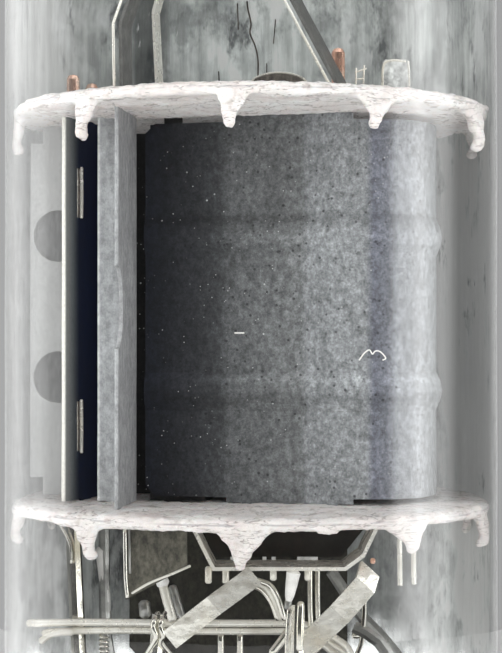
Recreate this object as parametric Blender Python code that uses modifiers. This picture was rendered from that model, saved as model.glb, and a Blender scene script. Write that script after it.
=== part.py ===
"""Double power triode in a tubular glass bulb on an eight-pin base.

Units are metres. +Z runs up the tube. The origin is the middle of the key's
end, the lowest point. -Y is the front, the side that shows the front anode.
"""
import math

import bmesh
import bpy
from mathutils import Matrix, Vector

MM = 0.001

# Clearances
FIT_GAP = 0.30 * MM          # between a piece and the hole or wall around it
SEAT_GAP = 0.25 * MM         # between a sheet's edge and the mica it stands on

# Key, pins and base
KEY_LENGTH = 14.3 * MM
KEY_RADIUS = 3.95 * MM
KEY_WALL = 1.0 * MM
KEY_CHAMFER = 0.55 * MM
KEY_END = 3.0 * MM           # from the hollow key's inner end to the exhaust tip
KEY_RIB_WIDTH = 1.3 * MM
KEY_RIB_HEIGHT = 1.1 * MM
PIN_COUNT = 8
PIN_RADIUS = 1.18 * MM
PIN_LENGTH = 11.1 * MM
PIN_CIRCLE_RADIUS = 8.725 * MM
PIN_HEAD = 0.35 * MM
BASE_HEIGHT = 14.5 * MM
BASE_RADIUS = 16.8 * MM
BASE_WALL = 1.2 * MM
BASE_FLOOR = 2.5 * MM
BASE_TAPER = 0.3 * MM
BASE_EDGE = 1.0 * MM
BASE_LIP = 2.2 * MM          # height of the thicker rim

# Glass
BULB_RADIUS = 19.05 * MM
BULB_WALL = 1.2 * MM
HEADROOM = 22.15 * MM        # from the upper mica to the top of the dome
DOME_HEIGHT = 13.5 * MM
SHOULDER_HEIGHT = 7.1 * MM
NECK_DEPTH = 4.3 * MM        # how far the neck reaches into the base
SHOULDER_RISE = 1.6 * MM     # straight neck that shows above the base
STEM_RISE = 6.6 * MM         # from the base's rim to the top of the stem
STEM_THICKNESS = 2.6 * MM
STEM_BEAD = 0.9 * MM         # rise of the bead of glass around the leads
STEM_EDGE = 0.65 * MM
STEM_FLARE = 2.4 * MM        # where the exhaust tube runs into the stem
EXHAUST_RADIUS = 2.55 * MM
EXHAUST_BORE = 1.2 * MM
EXHAUST_TIP = 7.4 * MM
EXHAUST_SEAL = 5.0 * MM      # length of the drawn-out tip

# Mica discs
MICA_CLEARANCE = 0.75 * MM   # between a disc's rim and the bulb
MICA_THICKNESS = 0.5 * MM
MICA_STAND = 15.7 * MM       # from the stem's seal to the top of the lower disc
MICA_SPACING = 27.35 * MM    # clear height between the discs
CLAW_LENGTH = 2.45 * MM
CLAW_ROOT = 2.2 * MM
CLAW_TIP = 0.8 * MM
CLAW_THICKNESS = 0.7 * MM
UPPER_CLAWS = (-41, -3.3, 30.5, 63, 98, 134, 170, 206, 242, 280)
LOWER_CLAWS = (-39, -1.5, 35, 69, 104, 140, 176, 212, 248, 284)

# Sheet metal
SHEET = 0.25 * MM
TAB_WIDTH = 1.3 * MM
TAB_REACH = 0.6 * MM         # how far a tab stands out past the mica
TAB_ROOT = 0.6 * MM

# Front anode: a pressed outer half and a folded inner half around one grid
UNIT_X = 2.8 * MM            # middle of the front grid
UNIT_FRONT = 3.35 * MM       # its distance in front of the tube's middle
REAR_SHIFT = 2.6 * MM        # sideways offset of the rear unit's turn centre
FACE_LEFT = -7.35 * MM
TONGUE_LEFT = -1.7 * MM
TONGUE_RIGHT = 6.95 * MM
STEP_LEFT = 3.6 * MM
STEP_RIGHT = 5.5 * MM
FACE_RIGHT = 9.0 * MM
FRONT_AT_EDGE = 4.9 * MM
FRONT_AT_TONGUE = 6.2 * MM
FRONT_AT_STEP = 6.9 * MM
FRONT_AT_RIGHT = 7.85 * MM
END_REACH = 4.2 * MM         # how far the rounded end runs past the flat face
END_BACK = 1.5 * MM
RIBS_AT = (0.285, 0.691)     # shares of the sheet's height
RIB_HALF_HEIGHT = 1.3 * MM
RIB_DEPTH = 0.42 * MM
WING_DROP_TOP = 0.45 * MM
WING_DROP_BOTTOM = 0.35 * MM
CORNER_CUT = 0.9 * MM
INNER_BACK = 0.9 * MM        # distance of the inner half's back wall
INNER_CHANNEL = -2.5 * MM
CRIMP_GAP = 0.55 * MM        # middle of one sheet to middle of the next

# Grid, cathode and heater
ROD_RADIUS = 0.475 * MM
ROD_SPACING = 6.8 * MM
ROD_REACH = 1.9 * MM         # how far the rods stand out of the lower mica
ROD_RISE = 1.45 * MM         # and of the upper mica
TALL_ROD_RISE = 4.45 * MM
GRID_TURNS = 8
GRID_MARGIN = 1.5 * MM       # from the first and last turn to the sheets' edges
GRID_WIRE = 0.11 * MM
GRID_DEPTH = 1.35 * MM
CATHODE_HALF_WIDTH = 2.2 * MM
CATHODE_HALF_DEPTH = 0.75 * MM
CATHODE_WALL = 0.15 * MM
CATHODE_REACH = 1.5 * MM     # how far it stands out of each mica
HEATER_WIRE = 0.15 * MM
HEATER_HALF_WIDTH = 1.2 * MM
HEATER_LEG = 5.0 * MM        # how far the heater hangs out of the lower mica
HEATER_BEND = 3.0 * MM

# Fins at the left; plan points are (x, distance in front of the tube's middle)
ARM_EDGE = (-13.0 * MM, 5.6 * MM)
ARM_FOLD = (-10.2 * MM, -0.25 * MM)
PANEL_INSET = 0.75 * MM      # from the panel's edge to the discs' rim
PANEL_HOLE_INSET = 2.15 * MM
PANEL_HOLE_RADIUS = 1.9 * MM
PANEL_HOLES_AT = (0.318, 0.702)
PANEL_CORNER = (1.0 * MM, 1.25 * MM)
ARM_SLOT_ALONG = 0.3         # share of the arm's width
ARM_SLOT_SIZE = (0.8 * MM, 3.5 * MM)
ARM_SLOTS_AT = (0.192, 0.806)
STRIP_EDGE = (-10.7 * MM, 5.0 * MM)
STRIP_FOLD = (-8.15 * MM, 5.0 * MM)
BLADE_EDGE = (-8.85 * MM, 11.0 * MM)
BLADE_DENT = (1.5 * MM, 2.8 * MM)
BLADE_DENT_AT = 0.501

# Posts beside the arm
POSTS = ((-12.8 * MM, 2.0 * MM), (-11.95 * MM, -2.4 * MM))
POST_RISE = 2.75 * MM        # above the upper mica
POST_REACH = 0.9 * MM        # below the lower mica

# Getter ring and the ribbons that hold it: points (x, front, share of the way up)
GETTER_X = -1.0 * MM
GETTER_RISE = 13.75 * MM     # above the upper mica
GETTER_RADIUS = 4.6 * MM
GETTER_CHANNEL = 1.1 * MM
GETTER_WALL = 0.25 * MM
STRUT_THICKNESS = 0.22 * MM
LEFT_STRUT = ((-8.7 * MM, 9.0 * MM, 0.0), (-8.8 * MM, 9.0 * MM, 0.386),
              (-8.2 * MM, 8.2 * MM, 0.559), (-5.6 * MM, 4.6 * MM, 0.89))
REAR_STRUT = ((-6.9 * MM, -1.0 * MM, 0.0), (-7.25 * MM, -1.0 * MM, 0.591),
              (-6.4 * MM, -1.0 * MM, 0.858))
RIGHT_STRUT = ((6.6 * MM, 6.4 * MM, 0.0), (5.95 * MM, 6.2 * MM, 0.087),
               (2.75 * MM, 5.8 * MM, 0.567), (1.0 * MM, 4.6 * MM, 0.906))
STRUT_ANGLES = (-48, -106, 17)   # where each ribbon meets the ring
LEFT_STRUT_WIDTH = (0.5 * MM, 1.9 * MM)
REAR_STRUT_WIDTH = (0.35 * MM, 1.1 * MM)
RIGHT_STRUT_WIDTH = (0.9 * MM, 2.0 * MM)

# What else stands on the upper mica
RADIATOR_X = 2.2 * MM
RADIATOR_BACK = 8.6 * MM
RADIATOR_RADIUS = 2.25 * MM
RADIATOR_RISE = 4.45 * MM
MICA_TAB = ((10.3 * MM, 3.0 * MM), (11.4 * MM, 3.0 * MM), (11.5 * MM, 1.6 * MM))
MICA_TAB_HEIGHT = 3.4 * MM

# Leads: points (x, front, share of the room from the stem's seal to the lower mica)
LEAD_RADIUS = 0.45 * MM
POST_LEAD_RADIUS = 0.54 * MM
LEAD_INSET = 1.6 * MM        # from the ring of leads to the stem's edge
FIRST_LEAD_ANGLE = -76
LEAD_ROUTES = (
    ((-12.3 * MM, 2.7 * MM, 0.348),),
    ((-6.3 * MM, 10.5 * MM, 0.381), (-6.1 * MM, 10.3 * MM, 0.589)),
    ((3.0 * MM, 11.8 * MM, 0.381), (3.1 * MM, 11.5 * MM, 0.642)),
    ((10.2 * MM, 6.0 * MM, 0.247), (8.9 * MM, 5.3 * MM, 0.408), (7.2 * MM, 4.9 * MM, 0.475)),
    ((11.0 * MM, -3.0 * MM, 0.247), (8.4 * MM, -3.1 * MM, 0.435), (6.0 * MM, -3.0 * MM, 0.669)),
    ((6.3 * MM, -10.5 * MM, 0.314), (6.3 * MM, -10.5 * MM, 1.0)),
    ((-2.6 * MM, -11.4 * MM, 0.314), (-2.2 * MM, -10.8 * MM, 0.836)),
    ((-11.2 * MM, -6.5 * MM, 0.288), (-11.4 * MM, -6.6 * MM, 0.515), (-11.4 * MM, -6.6 * MM, 1.0)),
)

# Fittings in the same room
BRACKET_FRONT = 9.6 * MM
BRACKET_DEPTH = 4.0 * MM
BRACKET_DROP = 3.2 * MM
BRACKET_BENDS = (-5.6 * MM, -4.1 * MM, -2.5 * MM, 6.3 * MM, 7.5 * MM, 8.6 * MM, 9.6 * MM)
BRACKET_BEND_RISE = 0.9 * MM
SHIELD_FRONT = 10.2 * MM
SHIELD_OUTLINE = ((-8.3 * MM, 1.0), (-8.3 * MM, 0.655), (-7.9 * MM, 0.669),
                  (-4.25 * MM, 0.80), (-4.25 * MM, 1.0))
REAR_BAFFLE_EDGES = (-9.6 * MM, 7.6 * MM)
REAR_BAFFLE_BACK = 8.6 * MM
REAR_BAFFLE_FOOT = 0.12      # share of the room from the stem's seal upward
REAR_BAFFLE_CORNER = 1.6 * MM
BAR_RADIUS = 0.55 * MM
BAR_AT = 0.462
BAR_INSET = 1.4 * MM         # from the bar's left end to the discs' rim
BAR_RIGHT = 2.8 * MM
LEFT_STRAP = ((-4.9 * MM, 11.2 * MM, 0.448), (-2.0 * MM, 11.4 * MM, 0.602),
              (0.7 * MM, 10.6 * MM, 0.729))
LEFT_STRAP_WIDTH = (-0.9 * MM, 1.1 * MM)
RIGHT_STRAP = ((3.9 * MM, 9.8 * MM, 0.381), (6.5 * MM, 9.4 * MM, 0.542),
               (8.3 * MM, 8.2 * MM, 0.662), (8.7 * MM, 7.4 * MM, 0.729))
RIGHT_STRAP_WIDTH = (-1.2 * MM, 1.1 * MM)
SLEEVE_WALL = 0.28 * MM
SLEEVE_SPANS = ((0.742, 0.843), (0.475, 0.742), (0.542, 0.729))
HAIRPIN_WIRE = 0.2 * MM
HAIRPIN = ((10.7 * MM, 2.0 * MM, 0.642), (10.7 * MM, 2.0 * MM, 0.93), (11.15 * MM, 2.0 * MM, 0.97),
           (11.6 * MM, 2.0 * MM, 0.93), (11.7 * MM, 2.0 * MM, 0.649))

# What follows from the sizes above
BASE_UNDERSIDE = KEY_LENGTH
BASE_TOP = BASE_UNDERSIDE + BASE_HEIGHT
FLOOR_TOP = BASE_UNDERSIDE + BASE_FLOOR
BASE_INNER = BASE_RADIUS - BASE_WALL
NECK_RADIUS = BASE_INNER - FIT_GAP
NECK_INNER = NECK_RADIUS - BULB_WALL
NECK_FOOT = BASE_TOP - NECK_DEPTH
NECK_TOP = BASE_TOP + SHOULDER_RISE
BULB_INNER = BULB_RADIUS - BULB_WALL
STEM_RADIUS = NECK_INNER - FIT_GAP
SHOULDER_TOP = NECK_TOP + SHOULDER_HEIGHT
STEM_TOP = BASE_TOP + STEM_RISE
STEM_UNDERSIDE = STEM_TOP - STEM_THICKNESS
STEM_SEAL = STEM_TOP + STEM_BEAD
LEAD_CIRCLE_RADIUS = STEM_RADIUS - LEAD_INSET
MICA_RADIUS = BULB_INNER - MICA_CLEARANCE
LOWER_MICA_TOP = STEM_SEAL + MICA_STAND
LOWER_MICA_UNDERSIDE = LOWER_MICA_TOP - MICA_THICKNESS
UPPER_MICA_UNDERSIDE = LOWER_MICA_TOP + MICA_SPACING
UPPER_MICA_TOP = UPPER_MICA_UNDERSIDE + MICA_THICKNESS
BULB_TOP = UPPER_MICA_TOP + HEADROOM
SHEET_FOOT = LOWER_MICA_TOP + SEAT_GAP
SHEET_TOP = UPPER_MICA_UNDERSIDE - SEAT_GAP
STRUT_FOOT = UPPER_MICA_TOP + SEAT_GAP
HANG_TOP = LOWER_MICA_UNDERSIDE - SEAT_GAP
PANEL_EDGE = (PANEL_INSET - MICA_RADIUS, ARM_FOLD[1])
POST_TOP = UPPER_MICA_TOP + POST_RISE
POST_FOOT = LOWER_MICA_UNDERSIDE - POST_REACH
GETTER_MIDDLE = UPPER_MICA_TOP + GETTER_RISE
GETTER_FOOT = GETTER_MIDDLE - GETTER_CHANNEL / 2 - SEAT_GAP
BRACKET_FLOOR = HANG_TOP - BRACKET_DROP
BAFFLE_FRONT = BRACKET_FRONT - BRACKET_DEPTH - FIT_GAP - SHEET / 2
BAR_FRONT = LEAD_ROUTES[0][0][1] + POST_LEAD_RADIUS + FIT_GAP + BAR_RADIUS

FINISHES = {
    "clear_glass": ((0.90, 0.93, 0.93, 1.0), 0.03, 0.0, 1.0),
    "brown_bakelite": ((0.060, 0.040, 0.030, 1.0), 0.40, 0.0, 0.0),
    "bright_nickel": ((0.80, 0.79, 0.74, 1.0), 0.25, 1.0, 0.0),
    "dull_nickel": ((0.42, 0.42, 0.42, 1.0), 0.45, 0.9, 0.0),
    "carbon_coat": ((0.085, 0.090, 0.095, 1.0), 0.70, 0.1, 0.0),
    "grey_coat": ((0.28, 0.29, 0.29, 1.0), 0.65, 0.1, 0.0),
    "white_mica": ((0.86, 0.82, 0.79, 1.0), 0.80, 0.0, 0.0),
    "copper": ((0.72, 0.40, 0.28, 1.0), 0.30, 1.0, 0.0),
    "white_ceramic": ((0.88, 0.87, 0.84, 1.0), 0.60, 0.0, 0.0),
    "tungsten": ((0.50, 0.50, 0.50, 1.0), 0.35, 1.0, 0.0),
}


def clear_scene():
    for thing in list(bpy.data.objects):
        bpy.data.objects.remove(thing, do_unlink=True)


def make_collection(name):
    collection = bpy.data.collections.new(name)
    bpy.context.scene.collection.children.link(collection)
    return collection


clear_scene()
PARTS = make_collection("double_triode")
CUTTERS = make_collection("cutters")


def make_material(name, finish):
    """A Principled material of the node's own, in one of the finishes."""
    color, roughness, metallic, transmission = FINISHES[finish]
    material = bpy.data.materials.new(name + "_finish")
    material.use_nodes = True
    shader = material.node_tree.nodes["Principled BSDF"]
    shader.inputs["Base Color"].default_value = color
    shader.inputs["Roughness"].default_value = roughness
    shader.inputs["Metallic"].default_value = metallic
    shader.inputs["Transmission Weight"].default_value = transmission
    material.diffuse_color = color
    return material


def add_part(name, data, finish):
    part = bpy.data.objects.new(name, data)
    data.materials.append(make_material(name, finish))
    PARTS.objects.link(part)
    return part


def mesh_of(name, shape):
    mesh = bpy.data.meshes.new(name)
    shape.to_mesh(mesh)
    shape.free()
    return mesh


def add_cutter(name, shape):
    """A closed solid that only serves a Boolean."""
    cutter = bpy.data.objects.new(name, mesh_of(name, shape))
    cutter.display_type = "WIRE"
    cutter.hide_render = True
    CUTTERS.objects.link(cutter)
    return cutter


def boolean(part, cutter, operation):
    step = part.modifiers.new(cutter.name, "BOOLEAN")
    step.operation = operation
    step.object = cutter
    step.solver = "EXACT"


def put_box(shape, middle, size, turn=0.0):
    """Add a box to a bmesh, turned about its own vertical axis."""
    place = (Matrix.Translation(Vector(middle)) @ Matrix.Rotation(turn, 4, "Z")
             @ Matrix.Diagonal((*size, 1.0)))
    bmesh.ops.create_cube(shape, size=1.0, matrix=place)


def put_cylinder(shape, middle, radius, depth, sides=16, along="Z", squash=1.0):
    """Add a capped cylinder; squash narrows it across its local Y."""
    turn = {"Z": Matrix.Identity(4), "Y": Matrix.Rotation(math.pi / 2, 4, "X")}[along]
    place = (Matrix.Translation(Vector(middle)) @ turn
             @ Matrix.Diagonal((1.0, squash, 1.0, 1.0)))
    bmesh.ops.create_cone(shape, cap_ends=True, segments=sides, radius1=radius,
                          radius2=radius, depth=depth, matrix=place)


def around(radius, angle, height):
    """A point on a circle about the tube; angle 0 is the front, + to the right."""
    turn = math.radians(angle)
    return Vector((radius * math.sin(turn), -radius * math.cos(turn), height))


def ahead(x, front, height):
    """A point given by its distance in front of the tube's middle."""
    return Vector((x, -front, height))


def between(low, high, share):
    return low + (high - low) * share


def sheet_height(share):
    return between(SHEET_FOOT, SHEET_TOP, share)


def route_in(low, high, points):
    """Points (x, front, share of the height from low to high) as places."""
    return [ahead(x, front, between(low, high, share)) for x, front, share in points]


def smooth_mesh(mesh, angle=40):
    mesh.shade_smooth()
    mesh.set_sharp_from_angle(angle=math.radians(angle))


def turned(name, profile, steps, finish, middle=(0.0, 0.0), closed=False):
    """A body of revolution from (radius, height) points."""
    shape = bmesh.new()
    points = [shape.verts.new((radius, 0.0, height)) for radius, height in profile]
    for first, second in zip(points, points[1:]):
        shape.edges.new((first, second))
    if closed:
        shape.edges.new((points[-1], points[0]))
    part = add_part(name, mesh_of(name, shape), finish)
    part.location = (middle[0], middle[1], 0.0)
    screw = part.modifiers.new("turn", "SCREW")
    screw.axis = "Z"
    screw.angle = math.tau
    screw.steps = steps
    screw.render_steps = steps
    screw.use_merge_vertices = True
    screw.merge_threshold = 0.00001
    screw.use_smooth_shade = True
    return part


def arc(center, radii, start, end, steps):
    """Points on an ellipse's arc, from start to end in degrees."""
    points = []
    for index in range(steps + 1):
        turn = math.radians(start + (end - start) * index / steps)
        points.append((center[0] + radii[0] * math.cos(turn),
                       center[1] + radii[1] * math.sin(turn)))
    return points


def through(route, per_span=5):
    """Points on a smooth curve that passes through the route's points."""
    ends = [route[0] * 2 - route[1]] + list(route) + [route[-1] * 2 - route[-2]]
    points = []
    for a, b, c, d in zip(ends, ends[1:], ends[2:], ends[3:]):
        for index in range(per_span):
            t = index / per_span
            points.append(0.5 * ((2 * b) + (c - a) * t + (2 * a - 5 * b + 4 * c - d) * t * t
                                 + (3 * b - a - 3 * c + d) * t ** 3))
    points.append(route[-1])
    return points


def wire(name, points, radius, finish, sides=8):
    """A round wire along the points, with flat closed ends."""
    curve = bpy.data.curves.new(name, "CURVE")
    curve.dimensions = "3D"
    curve.bevel_depth = radius
    curve.bevel_resolution = sides // 2 - 2
    curve.use_fill_caps = True
    spline = curve.splines.new("POLY")
    spline.points.add(len(points) - 1)
    for target, point in zip(spline.points, points):
        target.co = (*point, 1.0)
    return add_part(name, curve, finish)


def rod(name, middle, foot, top, radius, finish, sides=12):
    """A straight round rod with a rounded top and a chamfered foot."""
    crown = radius * 0.8
    profile = [(radius * math.sin(turn), top - crown * (1 - math.cos(turn)))
               for turn in (0.0, math.radians(45), math.radians(90))]
    profile += [(radius, foot + radius * 0.3), (radius * 0.7, foot), (0.0, foot)]
    return turned(name, profile, sides, finish, middle)


def outward(plan):
    """Unit normals of a plan line that runs left to right seen from the front."""
    normals = []
    for index, point in enumerate(plan):
        before = plan[max(index - 1, 0)]
        after = plan[min(index + 1, len(plan) - 1)]
        run = Vector((after[0] - before[0], after[1] - before[1])).normalized()
        normals.append(Vector((run.y, -run.x)))
    return normals


def sheet_wall(name, plan, levels, finish, thickness=SHEET, closed=False):
    """An upright sheet: a plan line drawn up through (height, outward push) levels."""
    shape = bmesh.new()
    first_height = levels[0][0]
    corners = [shape.verts.new((x, y, first_height)) for x, y in plan]
    chain = [shape.edges.new(pair) for pair in zip(corners, corners[1:])]
    if closed:
        chain.append(shape.edges.new((corners[-1], corners[0])))
    for (low, _), (high, _) in zip(levels, levels[1:]):
        grown = bmesh.ops.extrude_edge_only(shape, edges=chain)["geom"]
        risen = [item for item in grown if isinstance(item, bmesh.types.BMVert)]
        chain = [item for item in grown if isinstance(item, bmesh.types.BMEdge)
                 and item.verts[0] in risen and item.verts[1] in risen]
        bmesh.ops.translate(shape, verts=risen, vec=(0.0, 0.0, high - low))
    normals = outward(plan)
    for vert in shape.verts:
        out = min(levels, key=lambda level: abs(level[0] - vert.co.z))[1]
        if out:
            nearest = min(range(len(plan)),
                          key=lambda i: (vert.co.x - plan[i][0]) ** 2 + (vert.co.y - plan[i][1]) ** 2)
            vert.co.x += normals[nearest].x * out
            vert.co.y += normals[nearest].y * out
    bmesh.ops.recalc_face_normals(shape, faces=shape.faces)
    part = add_part(name, mesh_of(name, shape), finish)
    return thicken(part, thickness)


def thicken(part, thickness=SHEET):
    solid = part.modifiers.new("sheet", "SOLIDIFY")
    solid.thickness = thickness
    solid.offset = 0.0
    solid.use_even_offset = True
    return part


def folded_strip(name, line, sweep, finish, thickness=SHEET):
    """A strip: a line of points carried sideways by the sweep vector."""
    shape = bmesh.new()
    corners = [shape.verts.new(point) for point in line]
    chain = [shape.edges.new(pair) for pair in zip(corners, corners[1:])]
    grown = bmesh.ops.extrude_edge_only(shape, edges=chain)["geom"]
    moved = [item for item in grown if isinstance(item, bmesh.types.BMVert)]
    bmesh.ops.translate(shape, verts=moved, vec=sweep)
    bmesh.ops.recalc_face_normals(shape, faces=shape.faces)
    part = add_part(name, mesh_of(name, shape), finish)
    return thicken(part, thickness)


def flat_plate(name, outline, front, finish, thickness=SHEET):
    """A flat plate that faces the front, cut to an outline of (x, height) points."""
    curve = bpy.data.curves.new(name, "CURVE")
    curve.dimensions = "2D"
    curve.fill_mode = "BOTH"
    curve.extrude = thickness / 2
    spline = curve.splines.new("POLY")
    spline.points.add(len(outline) - 1)
    for target, (x, height) in zip(spline.points, outline):
        target.co = (x, height, 0.0, 1.0)
    spline.use_cyclic_u = True
    part = add_part(name, curve, finish)
    part.rotation_euler = (math.pi / 2, 0.0, 0.0)
    part.location = (0.0, -front, 0.0)
    return part


def point_on(plan, share):
    """Place and direction at a share of a plan line's length."""
    spans = [math.dist(a, b) for a, b in zip(plan, plan[1:])]
    rest = share * sum(spans)
    for (a, b), span in zip(zip(plan, plan[1:]), spans):
        if rest <= span:
            break
        rest -= span
    t = rest / span
    return (a[0] + (b[0] - a[0]) * t, a[1] + (b[1] - a[1]) * t,
            math.atan2(b[1] - a[1], b[0] - a[0]))


def add_tabs(part, plan, shares):
    """Tabs at both edges of a sheet, which pass through the micas' slots."""
    tabs = bmesh.new()
    for share in shares:
        x, y, turn = point_on(plan, share)
        for inner, outer in ((SHEET_TOP - TAB_ROOT, UPPER_MICA_TOP + TAB_REACH),
                             (SHEET_FOOT + TAB_ROOT, LOWER_MICA_UNDERSIDE - TAB_REACH)):
            put_box(tabs, (x, y, (inner + outer) / 2),
                    (TAB_WIDTH, SHEET * 0.8, abs(outer - inner)), turn)
        TAB_PLACES.append((x, y, turn))
    boolean(part, add_cutter(part.name + "_tabs", tabs), "UNION")


def turn_back(plan):
    """The same plan for the rear unit: turned half round about the shifted centre."""
    return [(REAR_SHIFT - x, -y) for x, y in plan]


def cut_edges(part, cuts, turned_back=False):
    """Box cuts in a sheet's edges, given as (x low, x high, z low, z high)."""
    shape = bmesh.new()
    for x_low, x_high, z_low, z_high in cuts:
        if turned_back:
            x_low, x_high = REAR_SHIFT - x_high, REAR_SHIFT - x_low
        depth = 2 * BULB_RADIUS
        put_box(shape, ((x_low + x_high) / 2, 0.0, (z_low + z_high) / 2),
                (x_high - x_low, depth, z_high - z_low))
    boolean(part, add_cutter(part.name + "_edges", shape), "DIFFERENCE")


TAB_PLACES = []


def glass():
    dome_base = BULB_TOP - DOME_HEIGHT
    outer = arc((0.0, dome_base), (BULB_RADIUS, DOME_HEIGHT), 90, 0, 7)
    inner = arc((0.0, dome_base), (BULB_INNER, DOME_HEIGHT - BULB_WALL), 0, 90, 7)
    shoulder_rise = SHOULDER_TOP - NECK_TOP
    bend = [(NECK_RADIUS + (BULB_RADIUS - NECK_RADIUS) * (0.5 + 0.5 * math.cos(math.pi * t)),
             SHOULDER_TOP - shoulder_rise * t) for t in (0.0, 0.25, 0.5, 0.75, 1.0)]
    inner_bend = [(radius - BULB_WALL, height) for radius, height in reversed(bend)]
    profile = outer + bend + [(NECK_RADIUS, NECK_FOOT), (NECK_INNER, NECK_FOOT)] + inner_bend + inner
    turned("glass_bulb", profile, 36, "clear_glass")

    lead = LEAD_CIRCLE_RADIUS
    flare = STEM_FLARE
    profile = [(0.0, EXHAUST_TIP + EXHAUST_SEAL * 0.6), (EXHAUST_BORE, EXHAUST_TIP + EXHAUST_SEAL * 0.8),
               (EXHAUST_BORE, STEM_TOP), (lead - 2 * STEM_BEAD, STEM_TOP),
               (lead - STEM_BEAD, STEM_SEAL), (lead + STEM_BEAD / 2, STEM_SEAL),
               (STEM_RADIUS, STEM_TOP), (STEM_RADIUS, STEM_UNDERSIDE + STEM_EDGE),
               (STEM_RADIUS - STEM_EDGE, STEM_UNDERSIDE), (EXHAUST_RADIUS + flare, STEM_UNDERSIDE),
               (EXHAUST_RADIUS + flare * 0.2, STEM_UNDERSIDE - flare / 2),
               (EXHAUST_RADIUS, STEM_UNDERSIDE - flare * 1.4), (EXHAUST_RADIUS, EXHAUST_TIP + EXHAUST_SEAL),
               (EXHAUST_RADIUS * 0.7, EXHAUST_TIP + EXHAUST_SEAL * 0.4),
               (EXHAUST_RADIUS * 0.25, EXHAUST_TIP + EXHAUST_SEAL * 0.06), (0.0, EXHAUST_TIP)]
    stem = turned("glass_stem", profile, 32, "clear_glass")
    holes = bmesh.new()
    for index in range(PIN_COUNT):
        radius = (POST_LEAD_RADIUS if index == 0 else LEAD_RADIUS) + FIT_GAP
        put_cylinder(holes, around(lead, lead_angle(index), STEM_TOP), radius,
                     4 * STEM_THICKNESS, 10)
    boolean(stem, add_cutter("stem_holes", holes), "DIFFERENCE")


def lead_angle(index):
    return FIRST_LEAD_ANGLE + 360 / PIN_COUNT * index


def base():
    hollow = KEY_RADIUS - KEY_WALL
    profile = [(0.0, EXHAUST_TIP - KEY_END), (hollow, EXHAUST_TIP - KEY_END), (hollow, FLOOR_TOP),
               (BASE_INNER - BASE_EDGE / 2, FLOOR_TOP), (BASE_INNER, FLOOR_TOP + BASE_EDGE / 2),
               (BASE_INNER, BASE_TOP), (BASE_RADIUS - BASE_TAPER, BASE_TOP),
               (BASE_RADIUS, BASE_TOP - BASE_TAPER), (BASE_RADIUS, BASE_TOP - BASE_LIP),
               (BASE_RADIUS - BASE_TAPER, BASE_TOP - BASE_LIP - BASE_TAPER)]
    edge = BASE_RADIUS - BASE_TAPER - BASE_EDGE
    profile += arc((edge, BASE_UNDERSIDE + BASE_EDGE), (BASE_EDGE, BASE_EDGE), 0, -90, 4)
    profile += [(KEY_RADIUS, BASE_UNDERSIDE), (KEY_RADIUS, KEY_CHAMFER),
                (KEY_RADIUS - KEY_CHAMFER, 0.0), (0.0, 0.0)]
    shell = turned("base_shell", profile, 36, "brown_bakelite")

    rib = bmesh.new()
    rib_angle = lead_angle(0) - 180 / PIN_COUNT
    rib_reach = KEY_WALL + KEY_RIB_HEIGHT
    rib_top = BASE_UNDERSIDE + BASE_FLOOR / 2
    middle = around(KEY_RADIUS - KEY_WALL / 2 + rib_reach / 2 - KEY_WALL / 4, rib_angle,
                    (rib_top + KEY_CHAMFER) / 2)
    put_box(rib, middle, (KEY_RIB_WIDTH, rib_reach, rib_top - KEY_CHAMFER), math.radians(rib_angle))
    boolean(shell, add_cutter("key_rib", rib), "UNION")

    holes = bmesh.new()
    for index in range(PIN_COUNT):
        put_cylinder(holes, around(PIN_CIRCLE_RADIUS, lead_angle(index), BASE_UNDERSIDE + BASE_FLOOR / 2),
                     PIN_RADIUS + FIT_GAP, 3 * BASE_FLOOR, 12)
    boolean(shell, add_cutter("pin_holes", holes), "DIFFERENCE")

    foot = BASE_UNDERSIDE - PIN_LENGTH
    for index in range(PIN_COUNT):
        place = around(PIN_CIRCLE_RADIUS, lead_angle(index), 0.0)
        profile = [(0.0, FLOOR_TOP + PIN_HEAD), (PIN_RADIUS * 0.75, FLOOR_TOP + PIN_HEAD),
                   (PIN_RADIUS, FLOOR_TOP), (PIN_RADIUS, foot + PIN_RADIUS * 0.9),
                   (PIN_RADIUS * 0.72, foot + PIN_RADIUS * 0.3), (PIN_RADIUS * 0.3, foot), (0.0, foot)]
        turned("base_pin_%d" % (index + 1), profile, 10, "bright_nickel", (place.x, place.y))


def leads():
    """Eight leads from the pins through the stem; the first one carries a post."""
    pin_top = FLOOR_TOP + PIN_HEAD + SEAT_GAP
    for index, upper in enumerate(LEAD_ROUTES):
        angle = lead_angle(index)
        route = [around(PIN_CIRCLE_RADIUS, angle, pin_top),
                 around(PIN_CIRCLE_RADIUS, angle, between(pin_top, STEM_UNDERSIDE, 0.17)),
                 around(LEAD_CIRCLE_RADIUS - LEAD_RADIUS, angle, between(pin_top, STEM_UNDERSIDE, 0.67)),
                 around(LEAD_CIRCLE_RADIUS, angle, between(pin_top, STEM_UNDERSIDE, 0.84)),
                 around(LEAD_CIRCLE_RADIUS, angle, STEM_SEAL)]
        route += route_in(STEM_SEAL, HANG_TOP, upper)
        radius = LEAD_RADIUS
        if index == 0:
            radius = POST_LEAD_RADIUS
            route.append(ahead(*POSTS[0], POST_FOOT - SEAT_GAP))
        wire("stem_lead_%d" % (index + 1), through(route, 2), radius, "dull_nickel")


def front_face_plan():
    """The outer half of the front anode, from its free edge to its rounded end."""
    plan = [(FACE_LEFT, -FRONT_AT_EDGE), (TONGUE_LEFT, -FRONT_AT_TONGUE),
            (STEP_LEFT, -FRONT_AT_STEP), (STEP_RIGHT, -FRONT_AT_RIGHT)]
    end = arc((FACE_RIGHT, -END_BACK), (END_REACH, FRONT_AT_RIGHT - END_BACK), -90, 0, 7)
    return plan + end


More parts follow.
